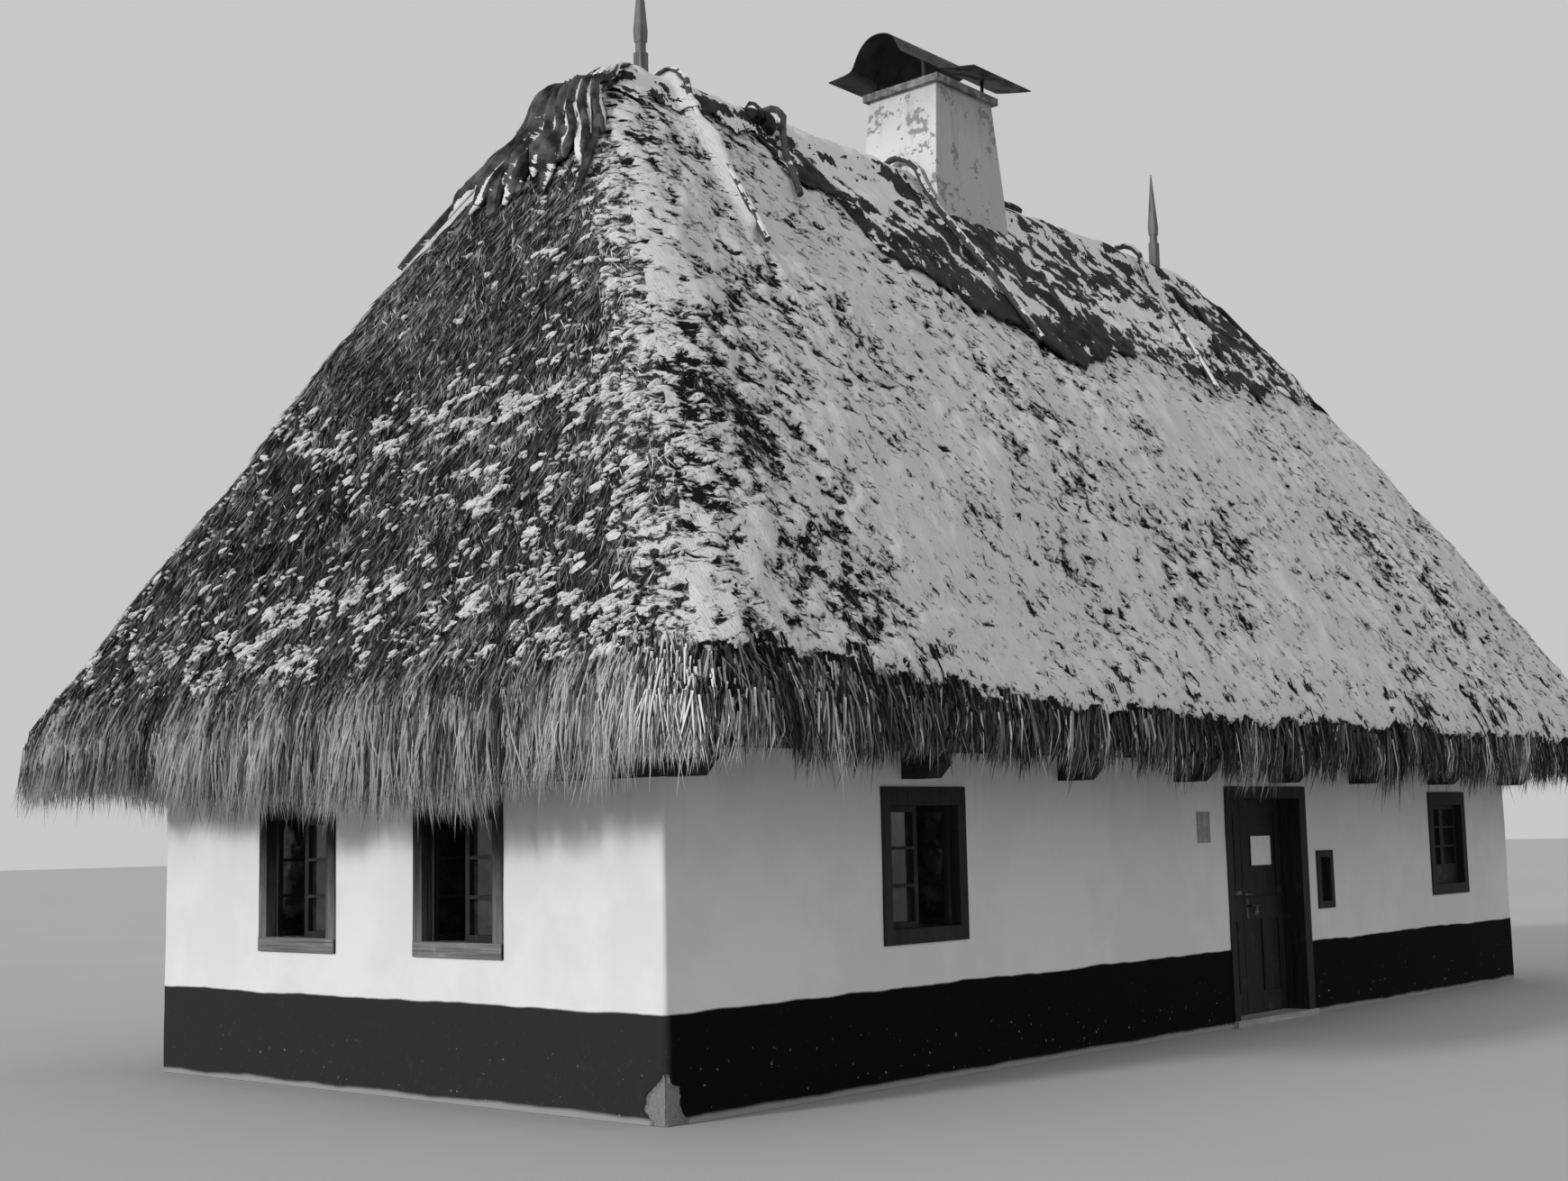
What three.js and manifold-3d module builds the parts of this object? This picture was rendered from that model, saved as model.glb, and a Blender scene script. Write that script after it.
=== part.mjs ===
// Thatched farmhouse: whitewashed earth walls, a steep hipped thatch roof weighted with poles,
// two carved ridge posts and a plastered chimney under a bent metal cap.
// Millimetres, +Z up. The origin is the middle of the house on the ground. The long front with
// the door faces -Y, and the gable end with two windows faces -X.
import * as THREE from 'three';
import { mergeVertices } from 'three/addons/utils/BufferGeometryUtils.js';
import Module from 'manifold-3d';

const wasm = await Module();
wasm.setup();

// Driving dimensions
const GAP = 0.3; // left between pieces that are cut or turned to meet
const HALF_LENGTH = 6290; // walls, outer face
const HALF_WIDTH = 2630;
const WALL = 450; // wall thickness
const WALL_TOP = 2200;
const BEAM_BOTTOM = 2000;
const BEAM_WIDTH = 170;
const BEAM_REACH = 300; // beam ends beyond the wall
const BEAM_X = [-6205, -3930, -2050, -380, 1210, 2750, 4470, 6205];
const PLATE_TOP = 2480; // eave plates that carry the thatch
const PLATE_WIDTH = 180;
const PLATE_END = 6500; // outer face of the plates over the gables
const CEILING = 30;
const FLOOR_TOP = 45;

const EAVE_Z = 2240; // where the roof slopes start
const EAVE_HALF_LENGTH = 7150;
const EAVE_HALF_WIDTH = 3770;
const RIDGE_Z = 7750;
const RIDGE_LEFT = -4320;
const RIDGE_RIGHT = 4850;
const SLOPE_BULGE = 256; // how far the long slopes swell at half height
const HIP_BULGE = 90;
const HIP_RADIUS = 520; // rounding of the hips, seen from above

const DOOR = { left: 330, right: 1760, head: 1970, step: 50 };
const DOOR_CLEAR = { left: 420, right: 1640, head: 1870 };
const LEAF = { thick: 45, lap: 20, meet: 930, meetGap: 8, bottom: 60, stile: 112, muntin: 90 };
const PANEL_DEPTH = 14; // recess of the door panels
const LOWER_PANEL = [230, 840]; // bottom and top
const UPPER_PANEL = [1030, 1740];

// Chimney: a wide hood under the roof, a tapering stack above it, and the flue inside
const CHIMNEY_X = 105;
const FLUE = { bottomHalf: 950, topHalf: 270, shell: 130 };
const STACK = [ // half widths along X and along Y
  { z: WALL_TOP + CEILING, half: [1080, 1080] },
  { z: 4600, half: [640, 640] },
  { z: 7600, half: [532, 431] },
  { z: 8480, half: [434, 389] },
];
const SLAB = { reach: 48, thick: 68 };
// The cap is a bent sheet. Its front wing is missing left of the flare.
const CAP = { left: -580, flare: -61, right: 870, thick: 8, hoodFront: -204 };
const CAP_LINE = [ // Y and Z of the sheet's underside
  [-630, 8645], [-485, 8672], [-382, 8694], [-279, 8717], [-215, 8738], [-172, 8776],
  [-134, 8850], [-100, 8912], [-40, 8961], [30, 8984], [95, 8992], [160, 8984],
  [225, 8956], [300, 8886], [352, 8800], [400, 8722], [470, 8700], [570, 8691], [683, 8683],
];
const CAP_LEG = { width: 14, depth: 30 };
const CAP_LEGS = [[-235, -190], [435, -375], [-235, 345], [435, 345]];

const RIDGE_POSTS = [
  { name: 'ridge_post_1', x: -3760, notch: 7960 },
  { name: 'ridge_post_2', x: 4120, notch: 8075 },
];
const POST = { half: 42, foot: 7250 }; // where the posts stand in the thatch
const RODS = [ // bent over the ridge; top and foot are along X
  { name: 'ridge_rod_1', top: -3480, foot: -3970, bottom: 5950 },
  { name: 'ridge_rod_2', top: -2250, foot: -2950, bottom: 6650 },
  { name: 'ridge_rod_3', top: -490, foot: -600, bottom: 5780 },
  { name: 'ridge_rod_4', top: 3430, foot: 2450, bottom: 5800 },
];
const ROD = { radius: 30, sides: 10 };
const FELT = { bottom: 6450, thick: 14 };

const finish = (color, roughness, metalness = 0) => () =>
  new THREE.MeshStandardMaterial({ color, roughness, metalness });
const PLASTER = finish(0xd8d7d2, 0.95);
const EARTH = finish(0x6f6a62, 1.0);
const DARK_WOOD = finish(0x2e2c2a, 0.8);
const GREY_WOOD = finish(0x77736c, 0.9);
const STRAW = finish(0x6d675c, 1.0);
const TAR_FELT = finish(0x2b2b2c, 0.85);
const GLASS = finish(0x39414a, 0.1);
const IRON = finish(0x2a2a2b, 0.5, 0.8);
const SHEET = finish(0x3a3a3c, 0.55, 0.7);

const house = new THREE.Group();

function add(name, geometry, material) {
  const mesh = new THREE.Mesh(geometry, material());
  mesh.name = name;
  house.add(mesh);
  return mesh;
}

// Geometry helpers

function box(low, high) {
  const size = high.map((value, axis) => value - low[axis]);
  const geometry = new THREE.BoxGeometry(...size);
  return geometry.translate(...low.map((value, axis) => value + size[axis] / 2));
}

function toSolid(geometry) {
  const bare = geometry.clone();
  for (const name of Object.keys(bare.attributes)) {
    if (name !== 'position') bare.deleteAttribute(name);
  }
  const merged = mergeVertices(bare, 1e-3);
  const vertProperties = new Float32Array(merged.attributes.position.array);
  const triVerts = new Uint32Array(merged.index.array);
  return new wasm.Manifold(new wasm.Mesh({ numProp: 3, vertProperties, triVerts }));
}

function toGeometry(solid) {
  const mesh = solid.getMesh();
  const geometry = new THREE.BufferGeometry();
  geometry.setAttribute('position', new THREE.BufferAttribute(mesh.vertProperties, 3));
  geometry.setIndex(new THREE.BufferAttribute(mesh.triVerts, 1));
  geometry.computeVertexNormals();
  return geometry;
}

const join = (...parts) => parts.map(toSolid).reduce((sum, next) => sum.add(next));

function outline(points) {
  return new THREE.Shape(points.map(([x, y]) => new THREE.Vector2(x, y)));
}

function rectangle(left, right, bottom, top) {
  return outline([[left, bottom], [right, bottom], [right, top], [left, top]]);
}

// A shape drawn in X and Z, from one Y to another
function extrudeAlongY(shape, front, back) {
  const geometry = new THREE.ExtrudeGeometry(shape, { depth: back - front, bevelEnabled: false });
  return geometry.rotateX(Math.PI / 2).translate(0, back, 0);
}

// A shape drawn in Y and Z, from one X to another
function extrudeAlongX(shape, left, right) {
  const geometry = new THREE.ExtrudeGeometry(shape, { depth: right - left, bevelEnabled: false });
  const turn = new THREE.Matrix4().makeBasis(
    new THREE.Vector3(0, 1, 0), new THREE.Vector3(0, 0, 1), new THREE.Vector3(1, 0, 0));
  return geometry.applyMatrix4(turn).translate(left, 0, 0);
}

const square = (half) => [half, half];

// A block that narrows upwards, round a vertical axis. A half is its half widths in X and Y.
function taperedBlock(x, bottom, top, bottomHalf, topHalf) {
  const geometry = new THREE.BoxGeometry(2, 2, top - bottom);
  const { position } = geometry.attributes;
  for (let i = 0; i < position.count; i++) {
    const [halfX, halfY] = position.getZ(i) > 0 ? topHalf : bottomHalf;
    position.setXY(i, position.getX(i) * halfX, position.getY(i) * halfY);
  }
  return geometry.translate(x, 0, (top + bottom) / 2);
}

// Windows: left and right run along the wall as seen from outside. shut lists the leaves that
// are closed, and the others stand open inwards.
const WINDOWS = [
  { name: 'gable_back', wall: 'gable', left: -1390, right: -510, bottom: 910, top: 1950,
    shut: ['right'] },
  { name: 'gable_front', wall: 'gable', left: 340, right: 1220, bottom: 910, top: 1950,
    shut: ['right'] },
  { name: 'front', wall: 'front', left: -4250, right: -3320, bottom: 910, top: 1950,
    shut: ['left'] },
  { name: 'right', wall: 'front', left: 4360, right: 5220, bottom: 930, top: 1930,
    shut: ['left', 'right'] },
  { name: 'small', wall: 'front', left: 1930, right: 2240, bottom: 900, top: 1410,
    shut: ['only'] },
];
const CASING = { side: 90, top: 125, bottom: 100, proud: 12, deep: 130 };
const SMALL_CASING = { side: 62, top: 62, bottom: 62, proud: 12, deep: 110 };
const SASH = { rail: 42, bar: 22, thick: 34, setBack: 64, glass: 4 };
const DEEP_FOOT = 190; // bottom rail of the window on the far right

function sashShape(width, height, panes, foot) {
  const shape = rectangle(0, width, 0, height);
  const clear = (height - SASH.rail - foot - (panes - 1) * SASH.bar) / panes;
  for (let i = 0; i < panes; i++) {
    const low = foot + i * (clear + SASH.bar);
    shape.holes.push(rectangle(SASH.rail, width - SASH.rail, low, low + clear));
  }
  return shape;
}

// A window is made with X along the wall, Y inwards from the wall's face and Z up
function buildWindow(spec) {
  const casing = spec.name === 'small' ? SMALL_CASING : CASING;
  const place = new THREE.Group();
  if (spec.wall === 'front') place.position.set(0, -HALF_WIDTH, 0);
  else {
    place.position.set(-HALF_LENGTH, 0, 0);
    place.rotation.z = -Math.PI / 2;
  }
  house.add(place);
  const put = (name, geometry, material) => place.add(add(name, geometry, material));

  const left = spec.left + GAP;
  const right = spec.right - GAP;
  const frame = rectangle(left, right, spec.bottom + GAP, spec.top - GAP);
  const clear = {
    left: left + casing.side,
    right: right - casing.side,
    bottom: spec.bottom + casing.bottom,
    top: spec.top - casing.top,
  };
  frame.holes.push(rectangle(clear.left, clear.right, clear.bottom, clear.top));
  put(`window_frame_${spec.name}`, extrudeAlongY(frame, -casing.proud, casing.deep),
    spec.wall === 'front' ? DARK_WOOD : GREY_WOOD);

  const height = clear.top - clear.bottom - 2 * GAP;
  const foot = spec.name === 'right' ? DEEP_FOOT : SASH.rail;
  const whole = clear.right - clear.left - 2 * GAP;
  const back = SASH.setBack + SASH.thick;
  const glassPane = (from, to) => box(
    [from + SASH.rail / 2, back + GAP, clear.bottom + foot / 2],
    [to - SASH.rail / 2, back + GAP + SASH.glass, clear.top - SASH.rail / 2]);

  if (spec.name === 'small') {
    const leaf = extrudeAlongY(sashShape(whole, height, 2, foot), SASH.setBack, back);
    put('window_leaf_small', leaf.translate(clear.left + GAP, 0, clear.bottom + GAP), DARK_WOOD);
    put('glass_small', glassPane(clear.left, clear.right), GLASS);
    return;
  }

  const width = (whole - GAP) / 2;
  for (const side of ['left', 'right']) {
    const start = side === 'left' ? clear.left + GAP : clear.right - GAP - width;
    const leaf = extrudeAlongY(sashShape(width, height, 3, foot), 0, SASH.thick);
    leaf.translate(0, SASH.setBack, clear.bottom + GAP);
    if (spec.shut.includes(side)) {
      put(`window_leaf_${spec.name}_${side}`, leaf.translate(start, 0, 0), DARK_WOOD);
    } else {
      // Turned a quarter inwards about the edge next to the frame
      const turn = side === 'left' ? 1 : -1;
      const edge = side === 'left' ? clear.left + GAP : clear.right - GAP;
      const hinge = leaf.translate(side === 'left' ? 0 : -width, -back, 0);
      hinge.rotateZ(turn * Math.PI / 2).translate(edge, back - SASH.thick, 0);
      put(`window_leaf_${spec.name}_${side}`, hinge, DARK_WOOD);
    }
  }
  const from = spec.shut.includes('left') ? clear.left : (clear.left + clear.right) / 2;
  const to = spec.shut.includes('right') ? clear.right : (clear.left + clear.right) / 2;
  put(`glass_${spec.name}`, glassPane(from, to), GLASS);
}

// Walls, floor and step

// Outline of a long wall in X and Z, with a pocket for each beam that lies on it
function longWallShape(left, right, bottom) {
  const half = BEAM_WIDTH / 2;
  const points = [[left, bottom], [right, bottom]];
  const pockets = BEAM_X.filter((x) => x + half > left && x - half < right).reverse();
  let edge = right;
  for (const x of pockets) {
    if (x + half < right) points.push([edge, WALL_TOP], [x + half, WALL_TOP]);
    points.push([Math.min(x + half, right), BEAM_BOTTOM], [Math.max(x - half, left), BEAM_BOTTOM]);
    edge = x - half;
  }
  if (edge > left) points.push([edge, WALL_TOP], [left, WALL_TOP]);
  return outline(points);
}

// Cuts the window openings of one wall through a block
function cutWindows(block, names) {
  const specs = WINDOWS.filter((spec) => names.includes(spec.name));
  return toGeometry(specs.reduce((solid, { wall, left, right, bottom, top }) => {
    const hole = wall === 'front'
      ? box([left, -HALF_WIDTH - 10, bottom], [right, -HALF_WIDTH + WALL + 10, top])
      : box([-HALF_LENGTH - 10, -right, bottom], [-HALF_LENGTH + WALL + 10, -left, top]);
    return solid.subtract(toSolid(hole));
  }, toSolid(block)));
}

function buildWalls() {
  const inner = HALF_WIDTH - WALL;
  const innerEnd = HALF_LENGTH - WALL;
  const frontLeft = extrudeAlongY(longWallShape(-HALF_LENGTH, DOOR.left, 0), -HALF_WIDTH, -inner);
  const frontRight = extrudeAlongY(longWallShape(DOOR.right, HALF_LENGTH, 0), -HALF_WIDTH, -inner);
  add('wall_front_left', cutWindows(frontLeft, ['front']), PLASTER);
  add('wall_front_right', cutWindows(frontRight, ['right', 'small']), PLASTER);
  add('wall_over_door',
    extrudeAlongY(longWallShape(DOOR.left, DOOR.right, DOOR.head), -HALF_WIDTH, -inner), PLASTER);
  add('wall_back',
    extrudeAlongY(longWallShape(-HALF_LENGTH, HALF_LENGTH, 0), inner, HALF_WIDTH), PLASTER);
  add('wall_gable_left',
    cutWindows(box([-HALF_LENGTH, -inner, 0], [-innerEnd, inner, BEAM_BOTTOM]),
      ['gable_back', 'gable_front']), PLASTER);
  add('wall_gable_right',
    box([innerEnd, -inner, 0], [HALF_LENGTH, inner, BEAM_BOTTOM]), PLASTER);

  add('floor', box([-innerEnd, -inner, 0], [innerEnd, inner, FLOOR_TOP]), EARTH);
  add('threshold',
    box([DOOR.left, -HALF_WIDTH - 40, 0], [DOOR.right, -inner, DOOR.step]), GREY_WOOD);
}

// Door: two unequal leaves behind a deep frame, both opening inwards on pintles

const FRAME_BACK = -HALF_WIDTH + 190;
const LEAF_FRONT = FRAME_BACK + 6;
const HINGE = { radius: 10, fromEdge: 14, behind: 10, heights: [330, 1620], tall: 70 };
const STRAP = { half: 5, into: 20 }; // iron from the knuckle into the leaf
const PINTLE_ARM = { half: 6, into: 20, inset: 8 };
const HANDLE = { plateHalf: 22, plateLow: 110, plateHigh: 60, plateThick: 5, standOff: 50,
  grip: 150, fromMeeting: 62, z: 960 };

function panelledLeaf(left, right, columns) {
  const top = DOOR_CLEAR.head + LEAF.lap;
  let leaf = toSolid(box([left, LEAF_FRONT, LEAF.bottom], [right, LEAF_FRONT + LEAF.thick, top]));
  for (const [[low, high], count] of [[LOWER_PANEL, columns], [UPPER_PANEL, 1]]) {
    const width = (right - left - 2 * LEAF.stile - (count - 1) * LEAF.muntin) / count;
    for (let i = 0; i < count; i++) {
      const from = left + LEAF.stile + i * (width + LEAF.muntin);
      leaf = leaf.subtract(toSolid(
        box([from, LEAF_FRONT - 1, low], [from + width, LEAF_FRONT + PANEL_DEPTH, high])));
    }
  }
  return leaf;
}

function barrel(x, y, bottom) {
  return new THREE.CylinderGeometry(HINGE.radius, HINGE.radius, HINGE.tall, 16)
    .rotateX(Math.PI / 2).translate(x, y, bottom + HINGE.tall / 2);
}

// Knuckles on the edge of a leaf; side is +1 where the hinge is at its right edge
function withKnuckles(leaf, edge, side) {
  const x = edge + side * HINGE.fromEdge;
  const y = LEAF_FRONT + HINGE.behind;
  return HINGE.heights.reduce((solid, z) => {
    const ends = [edge - side * STRAP.into, x].sort((a, b) => a - b);
    const strap = box([ends[0], y - STRAP.half, z + GAP + STRAP.half],
      [ends[1], y + STRAP.half, z + HINGE.tall - STRAP.half]);
    return solid.add(join(barrel(x, y, z + GAP), strap));
  }, leaf);
}

// Pintles on the back of the frame, one under each knuckle
function withPintles(frame, edge, side) {
  const x = edge + side * HINGE.fromEdge;
  const y = LEAF_FRONT + HINGE.behind;
  return HINGE.heights.reduce((solid, z) => {
    const arm = box(
      [x - PINTLE_ARM.half, FRAME_BACK - PINTLE_ARM.into, z - HINGE.tall + PINTLE_ARM.inset],
      [x + PINTLE_ARM.half, y, z - PINTLE_ARM.inset]);
    return solid.add(join(barrel(x, y, z - HINGE.tall), arm));
  }, frame);
}

function lever(x, z) {
  const { plateHalf, plateLow, plateHigh, plateThick, standOff, grip } = HANDLE;
  const plate = box([x - plateHalf, LEAF_FRONT - plateThick, z - plateLow],
    [x + plateHalf, LEAF_FRONT, z + plateHigh]);
  const neck = new THREE.CylinderGeometry(9, 9, standOff, 12)
    .translate(x, LEAF_FRONT - plateThick / 2 - standOff / 2, z);
  const bar = new THREE.CylinderGeometry(8, 10, grip, 12).rotateZ(Math.PI / 2)
    .translate(x + grip / 2 - 5, LEAF_FRONT - standOff, z);
  return toGeometry(join(plate, neck, bar));
}

function buildDoor() {
  const frame = outline([
    [DOOR.left, DOOR.step], [DOOR_CLEAR.left, DOOR.step],
    [DOOR_CLEAR.left, DOOR_CLEAR.head], [DOOR_CLEAR.right, DOOR_CLEAR.head],
    [DOOR_CLEAR.right, DOOR.step], [DOOR.right, DOOR.step],
    [DOOR.right, DOOR.head], [DOOR.left, DOOR.head],
  ]);
  const leftEdge = DOOR_CLEAR.left - LEAF.lap;
  const rightEdge = DOOR_CLEAR.right + LEAF.lap;
  const half = LEAF.meetGap / 2;
  let posts = toSolid(extrudeAlongY(frame, -HALF_WIDTH - 10, FRAME_BACK));
  posts = withPintles(withPintles(posts, leftEdge, -1), rightEdge, 1);
  add('door_frame', toGeometry(posts), DARK_WOOD);

  const leaf = panelledLeaf(LEAF.meet + half, rightEdge, 2);
  add('door_leaf', toGeometry(withKnuckles(leaf, rightEdge, 1)), DARK_WOOD);
  const halfLeaf = panelledLeaf(leftEdge, LEAF.meet - half, 1);
  add('door_half_leaf', toGeometry(withKnuckles(halfLeaf, leftEdge, -1)), DARK_WOOD);
  add('door_handle', lever(LEAF.meet + half + HANDLE.fromMeeting, HANDLE.z), IRON);
}

// Timber on the walls

function buildTimbers() {
  const reach = HALF_WIDTH + BEAM_REACH;
  const cut = 100;
  const beam = outline([
    [-reach, WALL_TOP], [-reach, BEAM_BOTTOM + cut], [-reach + cut, BEAM_BOTTOM],
    [reach - cut, BEAM_BOTTOM], [reach, BEAM_BOTTOM + cut], [reach, WALL_TOP],
  ]);
  BEAM_X.forEach((x, i) => {
    const half = BEAM_WIDTH / 2;
    add(`tie_beam_${i + 1}`, extrudeAlongX(beam, x - half, x + half), DARK_WOOD);
  });

  const plateInner = reach - PLATE_WIDTH;
  const longEnd = PLATE_END - 20;
  add('eave_plate_front', box([-longEnd, -reach, WALL_TOP], [longEnd, -plateInner, PLATE_TOP]),
    DARK_WOOD);
  add('eave_plate_back', box([-longEnd, plateInner, WALL_TOP], [longEnd, reach, PLATE_TOP]),
    DARK_WOOD);
  for (const [name, side] of [['eave_plate_left', -1], ['eave_plate_right', 1]]) {
    const ends = [side * PLATE_END, side * (PLATE_END - PLATE_WIDTH)].sort((a, b) => a - b);
    add(name, box([ends[0], -plateInner, WALL_TOP], [ends[1], plateInner, PLATE_TOP]), DARK_WOOD);
  }

  const ceiling = toSolid(box([-HALF_LENGTH, -plateInner + 60, WALL_TOP],
    [HALF_LENGTH, plateInner - 60, WALL_TOP + CEILING]));
  const hatch = toSolid(box([CHIMNEY_X - FLUE.bottomHalf, -FLUE.bottomHalf, WALL_TOP - 10],
    [CHIMNEY_X + FLUE.bottomHalf, FLUE.bottomHalf, WALL_TOP + CEILING + 10]));
  add('ceiling_boards', toGeometry(ceiling.subtract(hatch)), GREY_WOOD);
}

// Roof: rings that follow the eaves, narrowing to the ridge

const mix = (a, b, t) => a + (b - a) * t;
const swell = (t) => 4 * t * (1 - t);

// Half width and the two ends of the roof at a height, on the outside of the thatch
function roofAt(z) {
  const t = (z - EAVE_Z) / (RIDGE_Z - EAVE_Z);
  const shoulder = 95 * Math.max(0, 1 - Math.abs(z - 2650) / 450);
  return {
    z,
    left: mix(-EAVE_HALF_LENGTH, RIDGE_LEFT, t) - HIP_BULGE * swell(t) - shoulder,
    right: mix(EAVE_HALF_LENGTH, RIDGE_RIGHT, t) + HIP_BULGE * swell(t) + shoulder,
    half: mix(EAVE_HALF_WIDTH, 0, t) + SLOPE_BULGE * swell(t) + shoulder,
  };
}

const EAVE_RINGS = [
  { z: 2050, inset: 150 },
  { z: 2110, inset: 60 },
  { z: EAVE_Z, inset: 0 },
  { z: 2420, inset: 0 },
];
const SLOPE_LEVELS = [2650, 2900, 3300, 3900, 4500, 5100, 5700, 6300, 6800, 7200];
const RIDGE_RINGS = [
  { z: 7450, inset: 20, half: 300 },
  { z: 7610, inset: 160, half: 225 },
  { z: 7710, inset: 330, half: 120 },
  { z: RIDGE_Z, inset: 470, half: 30 },
];

function outerRings(grow = 0, bottom = 0) {
  const eave = EAVE_RINGS.map(({ z, inset }) => ({
    z,
    left: -EAVE_HALF_LENGTH + inset - grow,
    right: EAVE_HALF_LENGTH - inset + grow,
    half: EAVE_HALF_WIDTH - inset + grow,
  }));
  const levels = bottom ? [bottom, ...SLOPE_LEVELS.filter((z) => z > bottom)] : SLOPE_LEVELS;
  const slope = levels.map((z) => {
    const ring = roofAt(z);
    return { z, left: ring.left - grow, right: ring.right + grow, half: ring.half + grow };
  });
  const ridge = RIDGE_RINGS.map(({ z, inset, half }) => ({
    z: z + grow,
    left: RIDGE_LEFT + inset - grow,
    right: RIDGE_RIGHT - inset + grow,
    half: half + grow,
  }));
  return bottom ? [...slope, ...ridge] : [...eave, ...slope, ...ridge];
}

// The hollow under the thatch: its flat faces rest on the outer top edges of the eave plates
function innerRings() {
  const plateHalf = HALF_WIDTH + BEAM_REACH + GAP;
  const plateEnd = PLATE_END + GAP;
  const fallY = EAVE_HALF_WIDTH / (RIDGE_Z - EAVE_Z);
  const fallX = (EAVE_HALF_LENGTH + RIDGE_LEFT) / (RIDGE_Z - EAVE_Z);
  const at = (z) => ({
    z,
    left: -plateEnd + fallX * (z - PLATE_TOP),
    right: plateEnd - fallX * (z - PLATE_TOP),
    half: plateHalf - fallY * (z - PLATE_TOP),
  });
  const lip = 130;
  return [
    { z: 2000, left: -EAVE_HALF_LENGTH + 150 + lip, right: EAVE_HALF_LENGTH - 150 - lip,
      half: EAVE_HALF_WIDTH - 150 - lip },
    { z: 2060, left: -EAVE_HALF_LENGTH + 160 + lip, right: EAVE_HALF_LENGTH - 160 - lip,
      half: EAVE_HALF_WIDTH - 160 - lip },
    at(PLATE_TOP),
    at(4500),
    at(6650),
  ];
}

function ringPoints(ring, radius) {
  const corner = Math.min(radius, ring.half * 0.92);
  const steps = 5;
  const points = [];
  const centres = [
    [ring.left + corner, -ring.half + corner, Math.PI],
    [ring.right - corner, -ring.half + corner, 1.5 * Math.PI],
    [ring.right - corner, ring.half - corner, 0],
    [ring.left + corner, ring.half - corner, 0.5 * Math.PI],
  ];
  for (const [x, y, start] of centres) {
    for (let i = 0; i <= steps; i++) {
      const angle = start + (i / steps) * (Math.PI / 2);
      points.push([x + corner * Math.cos(angle), y + corner * Math.sin(angle), ring.z]);
    }
  }
  return points;
}

// A closed body through the rings, flat at both ends
function loft(rings, radius) {
  const rows = rings.map((ring) => ringPoints(ring, radius));
  const count = rows[0].length;
  const last = rows.length - 1;
  const middle = (row) => [0, 1, 2].map(
    (axis) => row.reduce((sum, point) => sum + point[axis], 0) / count);
  const vertices = [...rows.flat(), middle(rows[0]), middle(rows[last])];
  const index = [];
  for (let i = 0; i < count; i++) {
    const next = (i + 1) % count;
    for (let row = 0; row < last; row++) {
      const a = row * count + i;
      const b = row * count + next;
      index.push(a, b, b + count, a, b + count, a + count);
    }
    index.push(rows.length * count, next, i);
    index.push(rows.length * count + 1, last * count + i, last * count + next);
  }
  const geometry = new THREE.BufferGeometry();
  geometry.setAttribute('position', new THREE.Float32BufferAttribute(vertices.flat(), 3));
  geometry.setIndex(index);
  return geometry;
}

// Chimney

function stackSolid(grow) {
  const grown = STACK.map(({ z, half }) => ({ z, half: half.map((value) => value + grow) }));
  return grown.slice(1).map((upper, i) => {
    const lower = grown[i];
    return toSolid(taperedBlock(CHIMNEY_X, lower.z, upper.z, lower.half, upper.half));
  }).reduce((sum, next) => sum.add(next));
}

function flueSolid() {
  const neck = STACK[1];
  const neckHalf = square(neck.half[0] - FLUE.shell);
  const lower = taperedBlock(
    CHIMNEY_X, STACK[0].z - 50, neck.z, square(FLUE.bottomHalf), neckHalf);
  const upper = taperedBlock(
    CHIMNEY_X, neck.z, STACK[3].z + 50, neckHalf, square(FLUE.topHalf));
  return join(lower, upper);
}

// The sheet's line seen from the end, raised off its underside
function capLine(raise) {
  const curve = new THREE.CatmullRomCurve3(CAP_LINE.map(([y, z]) => new THREE.Vector3(y, z, 0)));
  const points = curve.getPoints(2 * (CAP_LINE.length - 1));
  return points.map((point, i) => {
    const ahead = points[Math.min(i + 1, points.length - 1)];
    const behind = points[Math.max(i - 1, 0)];
    const along = ahead.clone().sub(behind).normalize();
    return [point.x - along.y * raise, point.y + along.x * raise];
  });
}

// The legs end inside the sheet
function capSolid(floorZ) {
  const section = outline([...capLine(0), ...capLine(CAP.thick).reverse()]);
  const missing = toSolid(box([CAP.left - 10, -700, floorZ], [CAP.flare, CAP.hoodFront, 9100]));
  const sheet = toSolid(extrudeAlongX(section, CAP.left, CAP.right)).subtract(missing);
  const below = outline([...capLine(CAP.thick / 2), [640, floorZ - 20], [-590, floorZ - 20]]);
  const room = toSolid(extrudeAlongX(below, CAP.left, CAP.right));
  return CAP_LEGS.reduce((cap, [x, y]) => {
    const leg = toSolid(box([x, y, floorZ], [x + CAP_LEG.width, y + CAP_LEG.depth, 9100]));
    return cap.add(leg.intersect(room));
  }, sheet);
}

function buildChimney() {
  add('chimney_stack', toGeometry(stackSolid(0).subtract(flueSolid())), PLASTER);

  const topZ = STACK[3].z;
  const [rimX, rimY] = STACK[3].half.map((half) => half + SLAB.reach);
  const slab = rectangle(-rimY, rimY, topZ, topZ + SLAB.thick);
  const slabBlock = toSolid(extrudeAlongX(slab, CHIMNEY_X - rimX, CHIMNEY_X + rimX));
  const mouth = toSolid(box([CHIMNEY_X - FLUE.topHalf, -FLUE.topHalf, topZ - 10],
    [CHIMNEY_X + FLUE.topHalf, FLUE.topHalf, topZ + SLAB.thick + 10]));
  add('chimney_slab', toGeometry(slabBlock.subtract(mouth)), EARTH);

  add('chimney_cap', toGeometry(capSolid(topZ + SLAB.thick)), SHEET);
}

// Roof pieces

function planPrism(points) {
  const geometry = new THREE.ExtrudeGeometry(outline(points), { depth: 7500, bevelEnabled: false });
  return toSolid(geometry.translate(0, 0, 1500));
}

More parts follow.
